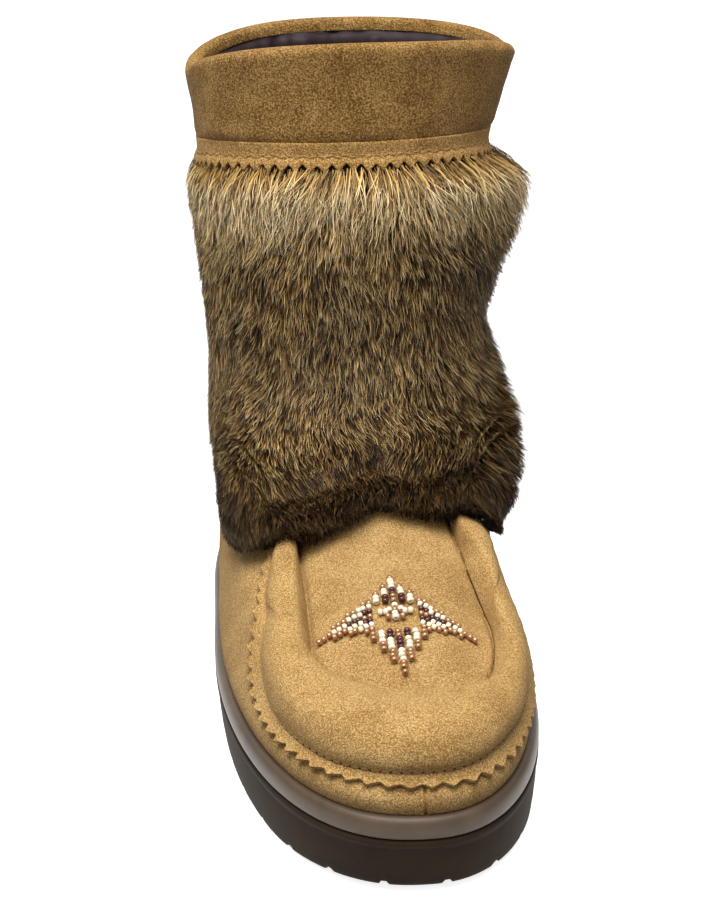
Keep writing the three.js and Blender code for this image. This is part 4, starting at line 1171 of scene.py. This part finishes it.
def hashed(i, j, salt):
    """A steady random number between 0 and 1 for each whole-numbered cell."""
    mixed = np.sin(i * 127.1 + j * 311.7 + salt * 74.7) * 43758.5453
    return mixed - np.floor(mixed)


def nearest_tuft(x, y):
    """The nearest tuft's centre: each cell has one, shifted at random, and is twice as tall as wide."""
    best, centre_x, centre_y = np.full(x.shape, np.inf), x.copy(), y.copy()
    column, row = np.floor(x / TUFT), np.floor(y / (TUFT * 2))
    for a in (-1, 0, 1):
        for b in (-1, 0, 1):
            cx = (column + a + hashed(column + a, row + b, 1)) * TUFT
            cy = (row + b + hashed(column + a, row + b, 2)) * TUFT * 2
            gap = (cx - x) ** 2 + ((cy - y) / 2) ** 2
            near = gap < best
            best = np.where(near, gap, best)
            centre_x, centre_y = np.where(near, cx, centre_x), np.where(near, cy, centre_y)
    return centre_x, centre_y


def sample_roots(count, draw):
    """Roots spread evenly by area: a cell of the cuff is picked by its size, then a spot in it."""
    round_cells, up_cells = ROOT_CELLS
    angle = (np.arange(round_cells) + 0.5) / round_cells * TURN - np.pi
    up = (np.arange(up_cells) + 0.5) / up_cells
    ring = fur_ring(angle[:, None], up[None])
    _, _, per_round, per_ring = read_net(np.broadcast_to(angle[:, None], ring.shape), ring)
    area = per_round * per_ring * (FUR_TOP - hem_ring(angle))[:, None]
    pick = draw.choice(area.size, count, p=(area / area.sum()).ravel())
    i, j = np.unravel_index(pick, area.shape)
    root_angle = angle[i] + (draw.random(count) - 0.5) * TURN / round_cells
    return root_angle, (j + draw.random(count)) / up_cells


# %% Ribbons
HAIR_WIDTH, HAIR_LENGTHS, LONGER_AT_TOP = 0.33, (9, 14), 3
# Places along a hair, and its width at all but the last, which is the tip.
PATH = np.array([0.0, 0.36, 0.7, 1.0])
TAPER = np.array([0.9, 1, 0.75])
# A ribbon has two points at each of the first three places of its path, and one at its tip.
POINT_PLACES = [0, 0, 1, 1, 2, 2, 3]
RIBBON_POINTS = len(POINT_PLACES)
RIBBON_FACES = np.array([[0, 1, 3], [0, 3, 2], [2, 3, 5], [2, 5, 4], [4, 5, 6]])


def ribbons(draw, middle, outward):
    """Ribbons along middle lines: half a width to each side, turned a little about their length."""
    count = len(middle)
    side = np.cross(np.gradient(middle, axis=1), outward)
    side /= np.linalg.norm(side, axis=-1, keepdims=True) + 1e-9
    roll = draw.normal(0, 0.5, count)[:, None, None]
    side = side * np.cos(roll) + outward * np.sin(roll)
    half = HAIR_WIDTH * draw.uniform(0.7, 1.25, count)[:, None, None] * TAPER[None, :, None] / 2
    left, right = middle[:, :3] - side[:, :3] * half, middle[:, :3] + side[:, :3] * half
    pairs = np.stack([left, right], 2).reshape(count, 6, 3)
    return np.concatenate([pairs, middle[:, 3:]], 1)


# %% Hairs
def hair_flow(draw, point, tuft, near_top):
    """Angle of each hair from straight down: two slow waves, its tuft's own turn and a little chance."""
    flow = 0.3 * ripple(point, 60, 51) + 0.2 * ripple(point, 24, 52) + 0.3 * (hashed(*tuft, 3) - 0.5)
    count = len(point)
    return flow + draw.normal(0, 0.1, count) + 0.12 * near_top * draw.normal(0, 1, count)


def hair_shades(draw, point, up, tuft, near_top):
    """Fleck from dark to pale, tone from grey to gold, and how far up the ramp the root starts."""
    fleck = 0.6 * draw.random(len(point)) + 0.4 * hashed(*tuft, 7)
    fleck = np.clip(0.5 + 1.5 * (fleck - 0.5), 0, 1)
    # Hairs darken towards the hem and grow paler near the top.
    fleck = fleck * (0.36 + 0.64 * smooth(up / 0.52)) + 0.18 * near_top
    tone = 0.72 + 0.45 * ripple(point, 30, 61) + 0.35 * (hashed(*tuft, 6) - 0.5) + 0.5 * near_top
    head_start = 0.54 * near_top + 0.2 * smooth((up - 0.9) / 0.08)
    return fleck, tone, head_start


def hairs(seed, count):
    """Ribbons of hair, and the fleck, tone and head start of each.

    A hair runs down by its length times the cosine of its flow, and aside by the sine. Its tip is
    drawn towards its tuft's centre, and it rises from the root's height to its share of the coat.
    """
    draw = np.random.default_rng(seed)
    angle, up = sample_roots(count, draw)
    ring = fur_ring(angle, up)
    point, _, per_round, per_ring = read_net(angle, ring)
    x, y = angle * SHAFT_RADIUS, (ring - hem_ring(angle)) * per_ring
    tuft_x, tuft_y = nearest_tuft(x, y)
    tuft = np.round(tuft_x * 7), np.round(tuft_y * 7)
    near_top = smooth((up - 0.8) / 0.15)
    length = draw.uniform(*HAIR_LENGTHS, count) + LONGER_AT_TOP * near_top
    length = np.minimum(length, y + 1.5 + 2 * draw.random(count) ** 2)
    flow = hair_flow(draw, point, tuft, near_top)
    cling = 0.45 + 0.35 * hashed(*tuft, 4)
    stands = 0.76 + 0.22 * hashed(*tuft, 5) + draw.normal(0, 0.06, count)
    root_height = draw.uniform(0.05, 0.4, count)[:, None]
    s = PATH[None]
    across = np.sin(flow)[:, None] * length[:, None] * s**1.2
    across = across + (tuft_x - x)[:, None] * cling[:, None] * s**1.6
    curl = draw.normal(0, 0.5, count)[:, None] * s**2
    sag = 1 - 0.6 * near_top * draw.random(count)
    down = (np.cos(flow) * length * sag)[:, None] * s
    down = down - (tuft_y - y)[:, None] * 0.45 * cling[:, None] * s**1.6
    path_angle = angle[:, None] + (across + curl) / per_round[:, None]
    path_ring = np.maximum(ring[:, None] - down / per_ring[:, None], 0.35)
    low = hem_ring(path_angle)
    path_up = (path_ring - low) / (FUR_TOP - low)
    swing = s ** (0.75 - 0.25 * near_top[:, None])
    rise = root_height + (stands[:, None] - root_height) * swing
    out = CLEARANCE + coat_depth(path_angle, np.clip(path_up, 0, 1)) * rise
    lifted = 1.2 * draw.random(count)[:, None] ** 3 * s**2
    place, outward, _, _ = read_net(path_angle, path_ring)
    points = ribbons(draw, place + outward * (out + lifted)[..., None], outward)
    return points, hair_shades(draw, point, up, tuft, near_top)


# %% [markdown]
# ### Hair colour
# Each hair is banded like a wild pelt: nearly black at the root, brown, then gold, and pale at the
# tip. The near-black root is partly that banding and partly painted shade deep in the coat. Three
# numbers stored on the points drive it: the place along the hair, a random fleck that makes some
# hairs dark guard hairs and some cream ones, and a slow tone from gold to grey. Hairs are also
# darker towards the hem and paler near the top.

# %% Hair material
def hair_material():
    """Banded hair: one ramp for gold hairs and one for grey, mixed by tone, then darkened by fleck."""
    material, tree, shader = new_material("banded_pelt_hair", Roughness=0.55, Specular_IOR_Level=0.2)

    def read(name):
        """The number of that name stored on the points."""
        return add(tree, "ShaderNodeAttribute", {"attribute_name": name}).outputs["Fac"]

    # The near-black start of both ramps is partly the pelt's banding, partly painted shade deep in the
    # coat.
    gold = add(tree, "ShaderNodeValToRGB", inputs={"Fac": read("along")}, settings={"stops": [
        (0.0, "#120c07"), (0.35, "#35240f"), (0.6, "#7d5a28"), (0.82, "#dab26a"), (1.0, "#fff0c8")]})
    grey = add(tree, "ShaderNodeValToRGB", inputs={"Fac": read("along")}, settings={"stops": [
        (0.0, "#120d09"), (0.35, "#2e2417"), (0.6, "#645033"), (0.82, "#ab9163"), (1.0, "#ecdcb4")]})
    hue = add(tree, "ShaderNodeMix", {"data_type": "RGBA"}, {
        0: read("tone"), 6: grey.outputs["Color"], 7: gold.outputs["Color"]}).outputs[2]
    shade = add(tree, "ShaderNodeValToRGB", inputs={"Fac": read("fleck")}, settings={"stops": [
        (0.0, "#1f1913"), (0.3, "#5a4f43"), (0.6, "#b5aa9a"), (0.8, "#ffffff"), (1.0, "#ffffff")]})
    dyed = add(tree, "ShaderNodeMix", {"data_type": "RGBA", "blend_type": "MULTIPLY"}, {
        0: 1.0, 6: hue, 7: shade.outputs["Color"]}).outputs[2]
    tree.links.new(dyed, shader.inputs["Base Color"])
    return material


pelt_hair = hair_material()
# The hide is nearly black: dark underfur and painted shade deep in the coat.
pelt_underfur_and_shade, _, _ = new_material("pelt_underfur_and_shade", Base_Color=linear("#1f150b"), Roughness=1.0)
new_piece("fur_hide", hide_points, grid_faces(
    len(hide_points), HIDE_COLUMNS, wrap_rows=True, wrap_columns=True), pelt_underfur_and_shade, ["fur_cuff"])
for number in range(HAIR_PIECES):
    hair_points, (fleck, tone, head_start) = hairs(FIRST_SEED + number, HAIRS)
    hair_faces = repeated_faces(RIBBON_FACES, RIBBON_POINTS, HAIRS)
    piece = new_piece(f"fur_hairs_{number + 1}", hair_points, hair_faces, pelt_hair)
    head_start = head_start[:, None]
    paleness = PATH[POINT_PLACES][None] * (1 - head_start) + head_start
    set_point_values(piece, "along", paleness)
    set_point_values(piece, "fleck", np.repeat(np.clip(fleck, 0, 1), RIBBON_POINTS))
    set_point_values(piece, "tone", np.repeat(np.clip(tone, 0, 1), RIBBON_POINTS))

# %% [markdown]
# ## Beadwork
# The beads are small glass tubes threaded on strings that lie side by side on the plug. The star has
# four arms, each a fan of strings that shorten to the sides, and a small flower sits in the middle.
# The colours are charted one letter a bead from the inner end out, because that is how a
# beader would write the pattern down.

# %% Bead places
BEAD_LENGTH = 1.62
ARM_START, STAR_X, STAR_PLACE = 7.5, 0.1 * HALF_WIDTH, -67.0
DROOP_MEDIAL, DROOP_LATERAL = 0.5, 0.3
LONG_ARM = ["ccmmmwwwccc", "mmwwwccc", "wwwcc", "cc"]
SHORT_ARM = ["ccmmwwwc", "mmwwc", "wwc", "c"]
# Each arm's direction, strings, start, step from bead to bead, step from string to string, thickness.
ARMS = [
    ((0, -1), LONG_ARM, ARM_START, 1.72, 2.75, 2.4),
    ((0, 1), SHORT_ARM, 4.5, 1.58, 2.75, 2.4),
    ((1, 0), LONG_ARM, ARM_START, 1.68, 2.0, 2.05),
    ((-1, 0), LONG_ARM, ARM_START, 1.75, 2.0, 2.05),
]
BEAD_GLASS = {
    "c": ("copper", copper_bead, "beads"),
    "w": ("cream", cream_bead, "cream_beads"),
    "m": ("dark_red", maroon_bead, "beads"),
}


def star_beads():
    """Each bead as (u, v, direction u, direction v, thickness, letter) on the star's flat chart."""
    made = []
    for (du, dv), strings, start, step, pitch, thick in ARMS:
        for string in range(-3, 4):
            letters = strings[abs(string)]
            for bead, letter in enumerate(letters):
                reach = start + (bead + 0.5) * step
                aside = string * pitch
                made.append((du * reach - dv * aside, dv * reach + du * aside, du, dv, thick, letter))
    return made


# The flower's beads are few, so each is listed one by one in the same way.
flower = [(u, 0.6, 1, 0, 2.3, "w") for u in (-4.9, -3.1, 3.1, 4.9)]
flower += [(0, 1.2, 0, 1, 2.3, "c"), (0, 3.0, 0, 1, 2.3, "w")]
flower += [(-1.9, 1.5, 0, 1, 2.0, "w"), (1.9, 1.5, 0, 1, 2.0, "w")]
flower += [(-2.4, -1.5, 1, 0, 2.3, "c"), (2.4, -1.5, 1, 0, 2.3, "c")]
flower += [(0, -0.5, 0, 1, 2.4, "w"), (0, -2.1, 0, 1, 2.4, "w")]
print("beads in the star:", len(star_beads()), "and in the flower:", len(flower))

# %% Places on the plug
plug_at, plug_rings = np.linspace(-1.5, 1.5, 900)[:, None], np.linspace(4.6, 8.6, 400)[None]
plug_net = surface(plug_at, plug_rings).reshape(-1, 3)
plug_normals = surface_normal(plug_at, plug_rings).reshape(-1, 3)


def on_plug(x, y):
    """Points of the plug's face under plan positions: the nearest knot, moved along its own plane."""
    plan = np.stack([x, y], -1)
    near = np.array([np.argmin(((plug_net[:, :2] - spot) ** 2).sum(-1)) for spot in plan])
    point, normal = plug_net[near], plug_normals[near]
    slope = (normal[:, :2] * (plan - point[:, :2])).sum(-1) / normal[:, 2]
    made = np.stack([x, y, point[:, 2] - slope], -1)
    return made + normal * plug_lift(made)[:, None], normal


# %% Beads
BEAD_ROUND = 12
BEAD_SECTION = np.array([
    (-0.5, 0.35), (-0.5, 0.62), (-0.4, 0.86), (-0.2, 0.98), (0.0, 1.0), (0.2, 0.98), (0.4, 0.86),
    (0.5, 0.62), (0.5, 0.35)])


def bead_grids(beads, seed):
    """Every bead's tube: a rounded section turned about its own thread, laid on the plug."""
    draw = np.random.default_rng(seed)
    chart = np.array([bead[:5] for bead in beads], float)
    chart[:, :2] += draw.normal(0, 0.12, (len(beads), 2))
    u, v = chart[:, 0], chart[:, 1]
    sag = np.where(u > 0, DROOP_MEDIAL, DROOP_LATERAL)
    droop = sag * np.maximum(np.abs(u) - ARM_START, 0)
    base, out = on_plug(STAR_X + u, STAR_PLACE + v - droop)
    slope = np.where(np.abs(chart[:, 2]) > 0, -sag * np.sign(u) * (np.abs(u) > ARM_START), 0)
    axis = np.stack([chart[:, 2], chart[:, 3] + slope * chart[:, 2], np.zeros(len(beads))], -1)
    axis += draw.normal(0, 0.07, axis.shape)
    axis -= out * (axis * out).sum(-1, keepdims=True)
    axis /= np.linalg.norm(axis, axis=1, keepdims=True)
    side = np.cross(out, axis)
    size = draw.uniform(0.93, 1.07, len(beads))[:, None, None]
    turn = np.arange(BEAD_ROUND) / BEAD_ROUND * TURN
    half = chart[:, 4] / 2
    centre = base + out * (0.25 + half * 0.96)[:, None]
    along = (BEAD_SECTION[:, 0] * BEAD_LENGTH)[:, None, None]
    made = centre[:, None, None] + axis[:, None, None] * along
    girth = (BEAD_SECTION[:, 1] * half[:, None])[..., None] * size
    made = made + side[:, None, None] * (girth * np.cos(turn))[..., None]
    return made + out[:, None, None] * (girth * np.sin(turn))[..., None]


def bead_pieces(name, beads):
    """One piece for each colour of glass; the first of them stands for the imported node."""
    grids = bead_grids(beads, 7)
    letters = np.array([bead[5] for bead in beads])
    one = grid_faces(len(BEAD_SECTION), BEAD_ROUND, wrap_rows=True, wrap_columns=True)
    for order, letter in enumerate(dict.fromkeys(letters)):
        chosen = grids[letters == letter]
        label, glass, slot = BEAD_GLASS[letter]
        faces = repeated_faces(one, len(BEAD_SECTION) * BEAD_ROUND, len(chosen))
        new_piece(f"{name}_{label}", chosen, faces, glass, [f"bead_{name}"] if order == 0 else ())


bead_pieces("star", star_beads())
bead_pieces("flower", flower)

# %% [markdown]
# ## Setting and light
# The photograph is a plain product picture: white all round, soft light from above and in front, and
# a little more from the left. A wide soft panel overhead gives the main light, two weak ones in
# front fill the vamp, and the pale surroundings fill the rest.

# %% Setting
def stage_plane(name, corners, colour, glow):
    """A flat sheet of the setting from four corners in metres. It throws no light on the boot."""
    mesh = bpy.data.meshes.new(name)
    mesh.from_pydata(corners, [], [(0, 1, 2, 3)])
    paper, _, _ = new_material(
        name + "_paper", Base_Color=linear(colour), Roughness=0.9, Emission_Color=linear(colour),
        Emission_Strength=glow)
    mesh.materials.append(paper)
    sheet = bpy.data.objects.new(name, mesh)
    bpy.context.scene.collection.objects.link(sheet)
    sheet.visible_diffuse = False
    sheet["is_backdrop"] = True


def panel_light(name, place, towards, size, power):
    """A square soft light that faces a point."""
    data = bpy.data.lights.new(name, "AREA")
    data.shape = "SQUARE"
    data.size = size
    data.energy = power
    lamp = bpy.data.objects.new(name, data)
    bpy.context.scene.collection.objects.link(lamp)
    back = np.array(place, float) - towards
    back /= np.linalg.norm(back)
    right = np.cross([0, 1, 0] if abs(back[2]) > 0.99 else [0, 0, 1], back)
    right /= np.linalg.norm(right)
    turn = Matrix(np.stack([right, np.cross(back, right), back], 1).tolist()).to_4x4()
    turn.translation = place
    lamp.matrix_world = turn


stage_plane("floor", [(-3, -2, 0), (3, -2, 0), (3, 3, 0), (-3, 3, 0)], "#ffffff", 0.8)
stage_plane("backdrop", [(-3, 3, 0), (3, 3, 0), (3, 3, 4), (-3, 3, 4)], "#ffffff", 1.0)
PANEL_SIDE = 0.9
# Name, place and the point it faces in metres, then watts.
PANELS = [
    ("overhead", (-0.15, -0.3, 1.2), (0, -0.03, 0.1), 24),
    ("front_left", (-0.8, -1.1, 0.75), (0, -0.03, 0.1), 2.5),
    ("front_right", (0.9, -0.9, 0.6), (0, 0, 0.1), 1.5),
]
for name, place, towards, power in PANELS:
    panel_light(name, place, towards, PANEL_SIDE, power)
ROOM_GLOW = 0.22
world = bpy.data.worlds.new("pale_room")
world.use_nodes = True
background = world.node_tree.nodes["Background"]
background.inputs["Color"].default_value = (1, 1, 1, 1)
background.inputs["Strength"].default_value = ROOM_GLOW
bpy.context.scene.world = world
bpy.context.scene.view_settings.view_transform = "Standard"
print("lights:", ", ".join(light.name for light in bpy.data.lights))

# %% [markdown]
# ## Size
# The dressed boot should fill the same space as the imported one, but for the fur's loose tips, so
# its box is written out.

# %% The dressed boot's box
dressed = [list(corner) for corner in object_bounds()]
for name, low, high in zip("XYZ", *dressed):
    print(name, round(low / MM, 1), "to", round(high / MM, 1), "mm")
